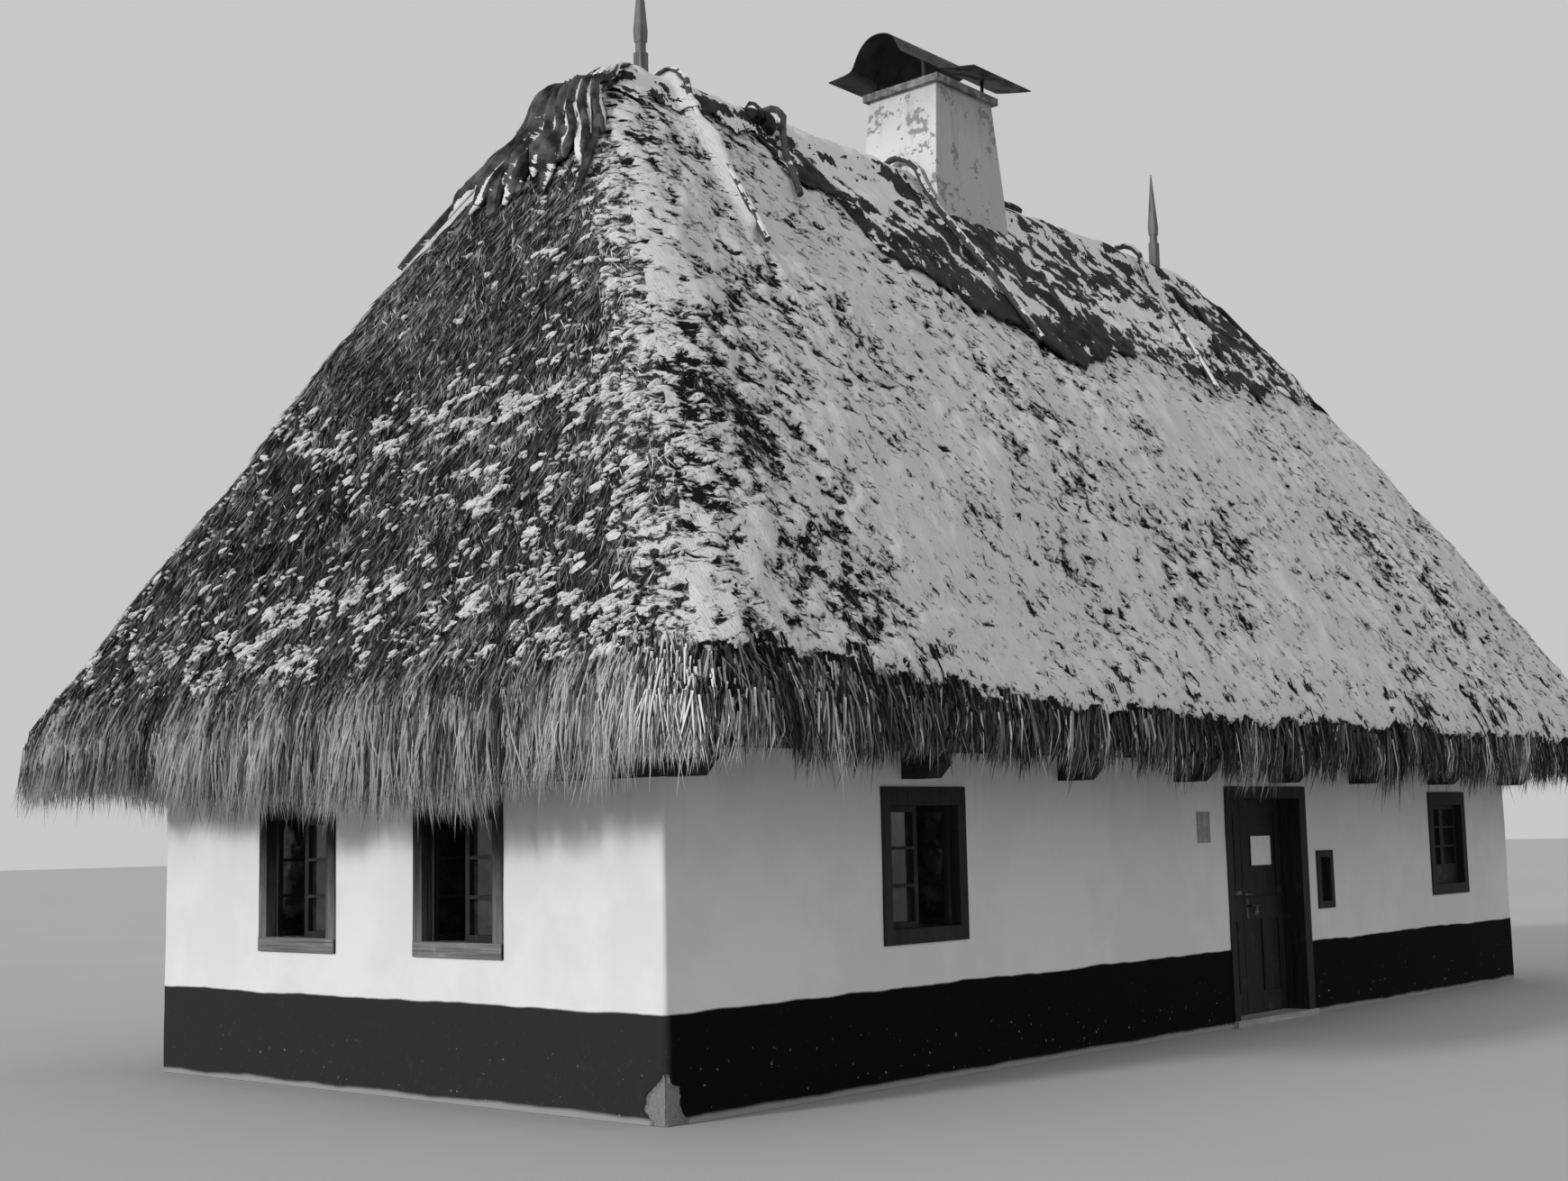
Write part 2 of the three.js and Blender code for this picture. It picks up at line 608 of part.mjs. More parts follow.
function postSocket(x) {
  const half = POST.half + GAP;
  return toSolid(box([x - half, -half, POST.foot - GAP], [x + half, half, RIDGE_Z + 250]));
}

function buildThatch() {
  let shell = toSolid(loft(outerRings(), HIP_RADIUS)).subtract(toSolid(loft(innerRings(), 10)));
  shell = shell.subtract(stackSolid(GAP));
  for (const { x } of RIDGE_POSTS) shell = shell.subtract(postSocket(x));

  const far = 1.4;
  const runLeft = (-EAVE_HALF_LENGTH - RIDGE_LEFT) * far;
  const runRight = (EAVE_HALF_LENGTH - RIDGE_RIGHT) * far;
  const out = EAVE_HALF_WIDTH * far;
  const apexLeft = [RIDGE_LEFT, 0];
  const apexRight = [RIDGE_RIGHT, 0];
  const corner = (side, y) => (side < 0
    ? [RIDGE_LEFT + runLeft, y * out] : [RIDGE_RIGHT + runRight, y * out]);
  const shift = (points, dx, dy) => points.map(([x, y]) => [x + dx, y + dy]);
  const pieces = {
    thatch_front: shift([apexLeft, corner(-1, -1), corner(1, -1), apexRight], 0, -GAP),
    thatch_back: shift([apexRight, corner(1, 1), corner(-1, 1), apexLeft], 0, GAP),
    thatch_left: shift([apexLeft, corner(-1, 1), corner(-1, -1)], -GAP, 0),
    thatch_right: shift([apexRight, corner(1, -1), corner(1, 1)], GAP, 0),
  };
  for (const [name, plan] of Object.entries(pieces)) {
    add(name, toGeometry(shell.intersect(planPrism(plan))), STRAW);
  }
}

function buildRidge() {
  let felt = toSolid(loft(outerRings(FELT.thick, FELT.bottom), HIP_RADIUS))
    .subtract(toSolid(loft(outerRings(GAP, FELT.bottom - 200), HIP_RADIUS)));
  felt = felt.subtract(stackSolid(GAP));
  for (const { x } of RIDGE_POSTS) felt = felt.subtract(postSocket(x));
  add('ridge_felt', toGeometry(felt), TAR_FELT);

  for (const post of RIDGE_POSTS) add(post.name, ridgePost(post), GREY_WOOD);
  for (const rod of RODS) add(rod.name, bentRod(rod), GREY_WOOD);
}

// A squared post: shaft, narrow waist, notched band and a long point
function ridgePost({ x, notch }) {
  const levels = [
    [POST.foot, POST.half], [notch - 95, POST.half], [notch - 80, 30], [notch - 12, 30],
    [notch, 38], [notch + 90, 41], [notch + 680, 4],
  ];
  return toGeometry(levels.slice(1).map(([z, half], i) =>
    toSolid(taperedBlock(x, levels[i][0], z, square(levels[i][1]), square(half))))
    .reduce((sum, next) => sum.add(next)));
}

// Two poles that cross over the ridge and lie on the slopes either side
// Y and Z of the felted roof from a height on one slope, over the ridge, to the other slope
function crossLine(bottom) {
  const bare = outerRings(FELT.thick, bottom).filter(({ z }) => z < FELT.bottom);
  const felted = outerRings(FELT.thick, Math.max(bottom, FELT.bottom));
  const rise = [...bare, ...felted].map(({ half, z }) => [-half, z]);
  return [...rise, ...rise.map(([y, z]) => [-y, z]).reverse()];
}

function raisedLine(line, lift) {
  const normals = line.slice(1).map(([y, z], i) => {
    const [dy, dz] = [y - line[i][0], z - line[i][1]];
    return [-dz / Math.hypot(dy, dz), dy / Math.hypot(dy, dz)];
  });
  return line.map(([y, z], i) => {
    const before = normals[Math.max(i - 1, 0)];
    const after = normals[Math.min(i, normals.length - 1)];
    const scale = lift / (1 + before[0] * after[0] + before[1] * after[1]);
    return [y + (before[0] + after[0]) * scale, z + (before[1] + after[1]) * scale];
  });
}

// Each edge of the rod is a raised line too, so the rod lies on the felt all the way
function bentRod({ top, foot, bottom }) {
  const line = crossLine(bottom);
  const edges = Array.from({ length: ROD.sides }, (_, i) => {
    const angle = (i / ROD.sides) * 2 * Math.PI;
    const lift = GAP + ROD.radius * (1 - Math.cos(angle));
    return { across: ROD.radius * Math.sin(angle), points: raisedLine(line, lift) };
  });
  const middle = (line.length - 1) / 2;
  const run = line.map(([, z]) => (z - bottom) / (line[Math.floor(middle)][1] - bottom));
  const vertices = line.flatMap((_, row) => edges.flatMap(({ across, points }) => [
    THREE.MathUtils.lerp(foot, top, run[row]) + across, ...points[row]]));
  const index = [];
  const last = (line.length - 1) * ROD.sides;
  for (let i = 0; i < ROD.sides; i++) {
    const next = (i + 1) % ROD.sides;
    for (let start = 0; start < last; start += ROD.sides) {
      const [a, b] = [start + i, start + next];
      index.push(a, b + ROD.sides, b, a, a + ROD.sides, b + ROD.sides);
    }
    if (i > 0 && next > 0) {
      index.push(0, i, next);
      index.push(last, last + next, last + i);
    }
  }
  const geometry = new THREE.BufferGeometry();
  geometry.setAttribute('position', new THREE.Float32BufferAttribute(vertices, 3));
  geometry.setIndex(index);
  return geometry;
}

buildWalls();
WINDOWS.forEach(buildWindow);
buildDoor();
buildTimbers();
buildChimney();
buildThatch();
buildRidge();

export default house;
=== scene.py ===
"""The looks of a thatched farmhouse: limewashed walls, straw roof under snow, felted ridge.

Laid out as a Blender add-on and run as a script. Metres, +Z up. The long front with the door
faces -Y and the gable end with two windows faces -X.
"""

import math
import random

import bmesh
import bpy
import numpy as np
from mathutils import Matrix, Vector, noise


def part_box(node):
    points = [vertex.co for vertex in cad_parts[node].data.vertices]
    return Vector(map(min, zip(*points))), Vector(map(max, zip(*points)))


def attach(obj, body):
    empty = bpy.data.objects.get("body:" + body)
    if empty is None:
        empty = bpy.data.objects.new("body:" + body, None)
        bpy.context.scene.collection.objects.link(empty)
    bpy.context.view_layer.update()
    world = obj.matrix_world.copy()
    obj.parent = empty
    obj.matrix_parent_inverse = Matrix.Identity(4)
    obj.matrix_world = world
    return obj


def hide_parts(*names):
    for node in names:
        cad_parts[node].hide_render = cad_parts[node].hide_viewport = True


bl_info = {
    "name": "Thatched Farmhouse",
    "version": (1, 0, 0),
    "blender": (4, 5, 0),
    "location": "3D Viewport > Sidebar > Farmhouse",
    "description": "Builds the finished pieces of a thatched farmhouse round its frame",
    "category": "Object",
}

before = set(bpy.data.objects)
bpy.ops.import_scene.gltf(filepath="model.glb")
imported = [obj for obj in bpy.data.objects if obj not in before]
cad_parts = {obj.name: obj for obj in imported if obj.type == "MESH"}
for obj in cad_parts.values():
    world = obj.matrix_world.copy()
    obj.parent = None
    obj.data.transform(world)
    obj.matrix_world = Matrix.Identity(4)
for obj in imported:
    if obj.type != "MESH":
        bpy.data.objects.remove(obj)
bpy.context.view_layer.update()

HOUSE = "house"
WALL_X = -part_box("wall_front_left")[0].x
WALL_Y = -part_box("wall_front_left")[0].y
EAVE_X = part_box("thatch_right")[1].x
EAVE_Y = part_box("thatch_back")[1].y

# Roof form, as the frame has it
LIP_Z = 2.13
EAVE_Z = 2.24
RIDGE_Z = 7.75
RIDGE_LEFT = -4.32
RIDGE_RIGHT = 4.85
SLOPE_BULGE = 0.256
HIP_BULGE = 0.09
HIP_RADIUS = 0.52
EAVE_STEPS = ((LIP_Z, 0.24), (2.17, 0.13), (2.26, 0.04), (2.42, 0.01))
RIDGE_STEPS = ((7.44, 0.02, 0.29), (7.58, 0.16, 0.21), (7.67, 0.33, 0.11), (7.71, 0.47, 0.03))
PLATE_TOP = 2.48
INNER_HALF = 2.9303
INNER_END = 6.5003
INNER_TOP = 6.65
SIDES = {"front": 0.0, "right": 0.5 * math.pi, "back": math.pi, "left": -0.5 * math.pi}


# Settings that a user would change


class FarmhouseSettings(bpy.types.PropertyGroup):
    """Sizes and colours of the finished pieces"""

    seed: bpy.props.IntProperty(name="Seed", description="Start of every random draw", default=7)
    straw_inset: bpy.props.FloatProperty(
        name="Straw Inset",
        description="How far the straw coat stays inside the frame at the eaves",
        default=0.055,
        unit="LENGTH",
    )
    snow_depth: bpy.props.FloatProperty(
        name="Snow Depth", description="Thickness of the lying snow", default=0.03, unit="LENGTH"
    )
    coat_step: bpy.props.FloatProperty(
        name="Coat Step",
        description="Mesh spacing of the straw coat on the front",
        default=0.036,
        unit="LENGTH",
    )
    plinth_top: bpy.props.FloatProperty(
        name="Plinth Top",
        description="Height of the dark band at the foot of the walls",
        default=0.63,
        unit="LENGTH",
    )
    limewash: bpy.props.FloatVectorProperty(
        name="Limewash",
        description="Colour of the walls",
        subtype="COLOR",
        default=(0.745, 0.745, 0.745),
    )
    snow: bpy.props.FloatVectorProperty(
        name="Snow", description="Colour of the snow", subtype="COLOR", default=(0.68, 0.68, 0.68)
    )
    straw_dark: bpy.props.FloatVectorProperty(
        name="Old Straw",
        description="Colour of the weathered straw",
        subtype="COLOR",
        default=(0.008, 0.008, 0.008),
    )
    straw_light: bpy.props.FloatVectorProperty(
        name="Bright Straw",
        description="Colour of the lightest straws",
        subtype="COLOR",
        default=(0.70, 0.70, 0.70),
    )
    lens: bpy.props.FloatProperty(
        name="Lens", description="Focal length of the camera", default=45.97, unit="CAMERA"
    )
    key_light: bpy.props.FloatProperty(
        name="Key Light", description="Strength of the soft sun", default=2.08
    )
    fill_light: bpy.props.FloatProperty(
        name="Fill Light", description="Strength of the wide light on the front", default=0.22
    )


def settings():
    return bpy.context.scene.farmhouse


# Node helpers


def grey(value):
    return (value, value, value, 1.0)


def rgba(colour, share=1.0):
    return (*(channel * share for channel in colour), 1.0)


class Graph:
    """Adds nodes to one tree. Plain values set sockets, and sockets are linked."""

    def __init__(self, tree):
        self.tree = tree

    def feed(self, socket, value):
        if isinstance(value, bpy.types.NodeSocket):
            self.tree.links.new(value, socket)
        elif value is not None:
            socket.default_value = value

    def node(self, kind, inputs=(), **options):
        made = self.tree.nodes.new(kind)
        for key, value in options.items():
            setattr(made, key, value)
        for key, value in dict(inputs).items():
            self.feed(made.inputs[key], value)
        return made

    def object_space(self):
        return self.node("ShaderNodeTexCoord").outputs["Object"]

    def facing(self):
        """X, Y and Z of the direction in which the surface faces."""
        return self.axes(self.node("ShaderNodeNewGeometry").outputs["Normal"])

    def uv(self, name):
        return self.node("ShaderNodeUVMap", uv_map=name).outputs["UV"]

    def attribute(self, name):
        return self.node("ShaderNodeAttribute", attribute_name=name).outputs["Fac"]

    def axes(self, vector):
        return self.node("ShaderNodeSeparateXYZ", {"Vector": vector}).outputs

    def map(self, vector, scale=(1, 1, 1), rotation=(0, 0, 0)):
        inputs = {"Vector": vector, "Scale": scale, "Rotation": rotation}
        return self.node("ShaderNodeMapping", inputs).outputs["Vector"]

    def noise(self, vector, scale, detail=3.0, rough=0.55, distortion=0.0):
        inputs = {
            "Vector": vector,
            "Scale": scale,
            "Detail": detail,
            "Roughness": rough,
            "Distortion": distortion,
        }
        return self.node("ShaderNodeTexNoise", inputs).outputs["Fac"]

    def step(self, value, low, high, start=0.0, end=1.0):
        """Runs smoothly from start to end as value goes from low to high."""
        inputs = {0: value, 1: low, 2: high, 3: start, 4: end}
        made = self.node("ShaderNodeMapRange", inputs, interpolation_type="SMOOTHSTEP")
        return made.outputs[0]

    def calc(self, operation, a, b=None):
        inputs = {0: a} if b is None else {0: a, 1: b}
        return self.node("ShaderNodeMath", inputs, operation=operation).outputs[0]

    def plus(self, a, b):
        return self.calc("ADD", a, b)

    def minus(self, a, b):
        return self.calc("SUBTRACT", a, b)

    def times(self, a, b):
        return self.calc("MULTIPLY", a, b)

    def mix(self, factor, a, b):
        inputs = {"Factor": factor, 6: a, 7: b}
        return self.node("ShaderNodeMix", inputs, data_type="RGBA").outputs[2]

    def bump(self, height, strength, distance):
        inputs = {"Height": height, "Strength": strength, "Distance": distance}
        return self.node("ShaderNodeBump", inputs).outputs["Normal"]

    def group(self, tree, **inputs):
        return self.node("ShaderNodeGroup", inputs, node_tree=tree).outputs


def shared_group(name, numbers, outputs, build):
    """A node group made once, fed by a vector and by numbers that have defaults.

    build gets its graph and its inputs, and returns the outputs.
    """
    tree = bpy.data.node_groups.get(name)
    if tree:
        return tree
    tree = bpy.data.node_groups.new(name, "ShaderNodeTree")
    tree.interface.new_socket("Vector", in_out="INPUT", socket_type="NodeSocketVector")
    for label, default in numbers.items():
        socket = tree.interface.new_socket(label, in_out="INPUT", socket_type="NodeSocketFloat")
        socket.default_value = default
    for label in outputs:
        tree.interface.new_socket(label, in_out="OUTPUT", socket_type="NodeSocketFloat")
    graph = Graph(tree)
    results = build(graph, tree.nodes.new("NodeGroupInput").outputs)
    sink = tree.nodes.new("NodeGroupOutput")
    for label, value in zip(outputs, results):
        graph.feed(sink.inputs[label], value)
    return tree


def blotches(g, vector, scale, low, high):
    """Soft-edged patches: 1 inside a patch and 0 outside."""

    def build(g, given):
        field = g.noise(given["Vector"], given["Scale"], 4.0, 0.6)
        return [g.step(field, given["Low"], given["High"])]

    numbers = {"Scale": 3.0, "Low": 0.5, "High": 0.6}
    tree = shared_group("Blotches", numbers, ["Mask"], build)
    return g.group(tree, Vector=vector, Scale=scale, Low=low, High=high)["Mask"]


def wood_grain(g, vector, splits):
    """Long fibres along Z of the given vector, with their tone, height and splits."""

    def build(g, given):
        fine = g.noise(g.map(given["Vector"], (90, 90, 2.5)), 1.0, 4.0, 0.65)
        broad = g.noise(g.map(given["Vector"], (14, 14, 0.9)), 1.0, 3.0, 0.55, 0.6)
        cracks = g.step(g.noise(g.map(given["Vector"], (60, 60, 1.1)), 1.0, 1.0, 0.4), 0.66, 0.72)
        tone = g.plus(g.times(fine, 0.55), g.times(broad, 0.45))
        height = g.minus(tone, g.times(cracks, given["Splits"]))
        return [g.step(tone, 0.32, 0.68), height, cracks]

    tree = shared_group("Wood Grain", {"Splits": 0.6}, ["Tone", "Height", "Splits"], build)
    return g.group(tree, Vector=vector, Splits=splits)


def grit(g, vector, scale):
    """Height of the fine unevenness of plaster, mortar and paint."""

    def build(g, given):
        coarse = g.noise(given["Vector"], given["Scale"], 5.0, 0.6)
        fine = g.noise(given["Vector"], g.times(given["Scale"], 9.0), 3.0, 0.6)
        return [g.plus(g.times(coarse, 0.75), g.times(fine, 0.25))]

    tree = shared_group("Grit", {"Scale": 8.0}, ["Height"], build)
    return g.group(tree, Vector=vector, Scale=scale)["Height"]


def snow_flecks(g, vector):
    """Fine breaks in thin snow: about -1 to 1, drawn out along the first axis."""

    def build(g, given):
        flecks = g.noise(g.map(given["Vector"], (9.5, 17, 1)), 1.0, 5.0, 0.70, 0.5)
        twigs = g.noise(g.map(given["Vector"], (9, 70, 1), rotation=(0, 0, 0.35)), 1.0, 1.0, 0.5)
        lines = g.step(twigs, 0.34, 0.27, 0.0, 0.55)
        return [g.minus(g.times(g.minus(flecks, 0.5), 4.2), lines)]

    tree = shared_group("Snow Flecks", {}, ["Flecks"], build)
    return g.group(tree, Vector=vector)["Flecks"]


def finish(name, build):
    """The material of that name. build gets its graph and shader the first time."""
    material = bpy.data.materials.get(name)
    if material is None:
        material = bpy.data.materials.new(name)
        material.use_nodes = True
        graph = Graph(material.node_tree)
        build(graph, material.node_tree.nodes["Principled BSDF"].inputs)
    return material


def named_finish(name):
    """Makes a function that fills a graph and shader into one that gives its material."""
    return lambda build: lambda: finish(name, build)


def dress(g, shader, colour, rough, normal=None, specular=None, metal=None):
    """Feeds the sockets of a shader, and leaves those that get None."""
    g.feed(shader["Base Color"], colour)
    g.feed(shader["Roughness"], rough)
    g.feed(shader["Normal"], normal)
    g.feed(shader["Specular IOR Level"], specular)
    g.feed(shader["Metallic"], metal)


# Finishes


@named_finish("limewashed plaster")
def plaster_finish(g, shader):
    """Limewash over a dark band at the foot, worn and chipped, with bare mud where it broke. Away
    from the near gable the band also carries painted shade.
    """
    s = settings()
    place = g.object_space()
    x, _, z = g.axes(place)
    level = g.plus(z, g.times(g.minus(g.noise(place, 1.7, 3.0), 0.5), 0.05))
    patches = blotches(g, place, 1.3, 0.42, 0.62)
    lime = g.mix(patches, rgba(s.limewash, 0.93), rgba(s.limewash))
    streaks = g.noise(g.map(place, (7.0, 7.0, 0.35)), 1.0, 3.0, 0.6)
    stained = g.times(g.step(streaks, 0.52, 0.74), g.step(z, 1.2, 2.1))
    lime = g.mix(g.times(stained, 0.16), lime, grey(0.45))
    # The foot and its worn dabs are darker away from the near gable end: partly a band painted in
    # another shade, partly painted shade for the sides that stand out of the sun.
    gable = g.step(x, -WALL_X + 0.02, -WALL_X + 0.06, 1.0, 0.0)
    foot = g.mix(gable, grey(0.002), grey(0.025))
    worn = g.mix(gable, grey(0.007), grey(0.045))
    dabs = blotches(g, place, 19.0, 0.58, 0.72)
    foot = g.mix(g.times(g.step(z, 0.0, 0.55, 0.75, 0.25), dabs), foot, worn)
    bald = g.noise(place, 31.0, 2.0, 0.5)
    chips = g.times(g.step(bald, 0.72, 0.75), g.step(z, 0.1, 0.5, 0.6, 0.05))
    foot = g.mix(chips, foot, grey(0.4))
    foot = g.mix(g.step(level, 0.02, 0.05, 0.85, 0.0), foot, grey(0.34))
    band = g.step(level, s.plinth_top - 0.008, s.plinth_top + 0.008)
    mud = g.mix(g.noise(place, 60.0, 3.0), grey(0.10), grey(0.30))
    broken = g.step(g.attribute("chipped"), 0.35, 0.5)
    colour = g.mix(broken, g.mix(band, foot, lime), mud)
    trowel = g.noise(g.map(place, (1.6, 1.6, 3.2)), 1.0, 2.0, 0.5)
    height = g.plus(g.times(grit(g, place, 8.0), 0.5), trowel)
    dress(g, shader, colour, 0.93, g.bump(height, 0.35, 0.012), specular=0.12)


@named_finish("flaking chimney plaster")
def chimney_finish(g, shader):
    """Plaster that has flaked off in patches, with runs, soot and painted shade on the front face.
    """
    place = g.object_space()
    bare = g.times(blotches(g, place, 2.6, 0.54, 0.56), blotches(g, place, 13.0, 0.50, 0.56))
    runs = g.noise(g.map(place, (9.0, 9.0, 0.8)), 1.0, 4.0, 0.6)
    colour = g.mix(g.step(runs, 0.5, 0.72, 0.0, 0.5), grey(0.64), grey(0.3))
    colour = g.mix(bare, colour, grey(0.27))
    soot = g.times(g.step(g.axes(place)[2], 7.9, 8.45), g.noise(place, 6.0))
    colour = g.mix(g.times(soot, 0.6), colour, grey(0.2))
    # Painted shade: the face towards the front is darkened because that side stands out of the
    # light.
    colour = g.mix(g.step(g.facing()[1], -0.5, -0.9, 0.0, 0.5), colour, grey(0.2))
    specks = blotches(g, place, 24.0, 0.66, 0.69)
    colour = g.mix(g.times(specks, 0.75), colour, grey(0.06))
    height = g.minus(grit(g, place, 9.0), bare)
    dress(g, shader, colour, 0.95, g.bump(height, 0.7, 0.012))


@named_finish("weathered mortar")
def mortar_finish(g, shader):
    place = g.object_space()
    colour = g.mix(blotches(g, place, 9.0, 0.4, 0.65), grey(0.10), grey(0.26))
    dress(g, shader, colour, 0.97, g.bump(grit(g, place, 22.0), 0.8, 0.01))


@named_finish("beaten earth")
def floor_finish(g, shader):
    place = g.object_space()
    colour = g.mix(g.noise(place, 1.5, 5.0), grey(0.10), grey(0.2))
    dress(g, shader, colour, 0.96, g.bump(grit(g, place, 14.0), 0.6, 0.01))


TURNS = {"x": (0, math.pi / 2, 0), "y": (math.pi / 2, 0, 0), "z": (0, 0, 0)}
# The darkest, lightest and rubbed shade of each timber, and its roughness
TIMBERS = {
    "dark": (0.006, 0.028, 0.06, 0.72),
    "grey": (0.08, 0.22, 0.34, 0.85),
    "pale": (0.24, 0.46, 0.6, 0.85),
}


def timber_finish(tone, along):
    """Weathered timber with its fibres along x, y or z."""
    low, high, rubbed, rough = TIMBERS[tone]

    def build(g, shader):
        place = g.map(g.object_space(), rotation=TURNS[along])
        grain = wood_grain(g, place, 0.6)
        colour = g.mix(grain["Tone"], grey(low), grey(high))
        patches = blotches(g, place, 5.0, 0.55, 0.75)
        colour = g.mix(g.times(patches, 0.5), colour, grey(rubbed))
        colour = g.mix(g.times(grain["Splits"], 0.8), colour, grey(low))
        uneven = g.step(grain["Tone"], 0.0, 1.0, rough - 0.1, rough + 0.1)
        dress(g, shader, colour, uneven, g.bump(grain["Height"], 0.6, 0.004), specular=0.25)

    return finish(f"{tone} timber along {along}", build)


@named_finish("bleached casing with painted eave shade")
def casing_finish(g, shader):
    """Casings of bleached timber, darkened towards the top by painted shade of the eave."""
    place = g.object_space()
    grain = wood_grain(g, place, 0.6)
    level = g.plus(g.axes(place)[2], g.times(g.noise(place, 7.0), 0.5))
    painted_eave_shade = g.mix(grain["Tone"], grey(0.006), grey(0.03))
    bleached = g.mix(grain["Tone"], grey(0.05), grey(0.20))
    # Darker towards the top: painted shade of the eave over the casing.
    colour = g.mix(g.step(level, 1.25, 2.05, 1.0, 0.0), painted_eave_shade, bleached)
    dress(g, shader, colour, 0.85, g.bump(grain["Height"], 0.6, 0.004), specular=0.2)


STRAW_RANGE = 88.0


def straw_colour(g, tone):
    """Weathered to bright straw as tone goes from 0 to 1, each step as many times lighter."""
    s = settings()
    held = g.calc("MAXIMUM", g.calc("MINIMUM", tone, 1.0), 0.0)
    grown = g.minus(g.calc("POWER", STRAW_RANGE, held), 1.0)
    share = g.calc("DIVIDE", grown, STRAW_RANGE - 1.0)
    return g.mix(share, rgba(s.straw_dark), rgba(s.straw_light))


@named_finish("laid straw and snow")
def coat_finish(g, shader):
    """Thatch seen as laid straw, and snow where the snow attribute is high."""
    snow = settings().snow
    laid = g.uv("laid")
    strands = g.noise(g.map(laid, (75, 8, 1)), 1.0, 3.0, 0.7, 0.4)
    clumps = g.noise(g.map(laid, (16, 5, 1)), 1.0, 2.0, 0.6)
    tone = g.plus(g.step(strands, 0.38, 0.66, -0.2, 0.3), g.attribute("tone"))
    tone = g.plus(tone, g.step(clumps, 0.3, 0.7, -0.15, 0.15))
    slanted = snow_flecks(g, g.uv("blown"))
    from_hip = g.uv("hip")
    near = g.step(g.calc("ABSOLUTE", g.axes(from_hip)[0]), 0.25, 0.9, 1.0, 0.0)
    turn = g.times(g.minus(snow_flecks(g, from_hip), slanted), near)
    drift = g.plus(g.attribute("snow"), g.times(g.plus(slanted, turn), 0.55))
    cover = g.step(drift, -0.015, 0.015)
    white = g.mix(g.step(drift, 0.0, 0.4), rgba(snow, 0.88), rgba(snow))
    colour = g.mix(cover, straw_colour(g, tone), white)
    stalks = g.plus(strands, g.times(clumps, 0.6))
    height = g.plus(stalks, g.times(g.step(drift, -0.05, 0.12), 1.2))
    rough = g.step(cover, 0.0, 1.0, 0.9, 0.6)
    dress(g, shader, colour, rough, g.bump(height, 0.9, 0.02), specular=0.05)


@named_finish("loose straw")
def strand_finish(g, shader):
    """Single straws. Each has its own tone, lighter towards its tip."""
    dress(g, shader, straw_colour(g, g.attribute("tone")), 0.85, specular=0.08)


@named_finish("caught snow")
def snow_finish(g, shader):
    snow = settings().snow
    crust = g.noise(g.object_space(), 40.0, 3.0)
    colour = g.mix(crust, rgba(snow, 0.85), rgba(snow))
    dress(g, shader, colour, 0.6, g.bump(crust, 0.6, 0.01), specular=0.1)


def felt_finish(bleached=False):
    """Tarred felt with snow on it. Bleached felt has dried out in the sun."""
    low, high = (0.012, 0.12) if bleached else (0.004, 0.024)

    def build(g, shader):
        place = g.object_space()
        tar = g.mix(g.step(g.noise(place, 5.0, 4.0, 0.6), 0.35, 0.7), grey(low), grey(high))
        flecks = snow_flecks(g, g.map(place, (0.9, 0.7, 1), (0.9, 0, 0.3)))
        cover = g.step(g.plus(g.attribute("snow"), g.times(flecks, 0.44)), -0.012, 0.015)
        colour = g.mix(cover, tar, rgba(settings().snow))
        height = g.plus(g.noise(place, 9.0, 4.0, 0.6, 0.8), cover)
        rough = g.step(cover, 0.0, 1.0, 0.62, 0.6)
        dress(g, shader, colour, rough, g.bump(height, 0.6, 0.02), specular=0.15)

    return finish("bleached felt" if bleached else "tarred felt", build)


def rod_finish(snowy):
    """Dark weathered rods, with snow along the upper side of the snowy ones."""
    least = 0.42 if snowy else 0.85

    def build(g, shader):
        place = g.object_space()
        grain = wood_grain(g, place, 0.4)
        wood = g.mix(grain["Tone"], grey(0.012), grey(0.08))
        ragged = g.times(g.minus(g.noise(place, 9.0, 3.0), 0.5), 1.6)
        cover = g.step(g.plus(g.facing()[2], ragged), least, least + 0.1)
        colour = g.mix(cover, wood, rgba(settings().snow))
        dress(g, shader, colour, 0.85, g.bump(g.plus(grain["Height"], cover), 0.6, 0.01))

    return finish("snowy rods" if snowy else "bare rods", build)


# The size and upper edge of a metal's patches, its shade and roughness outside and in them, and
# how metallic it is
METALS = {
    "forged iron": (45.0, 0.6, (0.035, 0.11), (0.45, 0.8), 0.6),
    "worn iron": (30.0, 0.6, (0.03, 0.14), (0.6, 0.4), 0.6),
    "blackened sheet": (6.0, 0.65, (0.02, 0.055), (0.5, 0.85), 0.5),
}


def metal_finish(name):
    """Gritty iron or dented sheet, with patches that are rusted or rubbed."""
    scale, edge, (low, high), rough, metal = METALS[name]

    def build(g, shader):
        place = g.object_space()
        patches = blotches(g, place, scale, 0.45, edge)
        colour = g.mix(patches, grey(low), grey(high))
        if name == "blackened sheet":
            normal = g.bump(g.noise(place, 3.5, 2.0, 0.5), 0.4, 0.02)
        else:
            normal = g.bump(grit(g, place, 90.0), 0.4, 0.001)
        dress(g, shader, colour, g.step(patches, 0.0, 1.0, *rough), normal, metal=metal)

    return finish(name, build)


@named_finish("old window glass")
def glass_finish(g, shader):
    """Old window glass, dark from outside because the room behind is dark."""
    place = g.object_space()
    dust = blotches(g, place, 7.0, 0.4, 0.7)
    colour = g.mix(dust, grey(0.012), grey(0.03))
    waves = g.bump(g.noise(place, 5.0, 1.0), 0.15, 0.01)
    dress(g, shader, colour, g.step(dust, 0.0, 1.0, 0.04, 0.16), waves, specular=0.6)


@named_finish("bare paper")
def paper_finish(g, shader):
    creases = g.noise(g.object_space(), 14.0, 3.0)
    colour = g.mix(creases, grey(0.70), grey(0.86))
    dress(g, shader, colour, 0.7, g.bump(creases, 0.3, 0.002))


@named_finish("bare grey plate")
def plate_finish(g, shader):
    place = g.object_space()
    colour = g.mix(blotches(g, place, 12.0, 0.35, 0.65), grey(0.22), grey(0.33))
    dress(g, shader, colour, 0.6, g.bump(g.noise(place, 60.0), 0.2, 0.001))


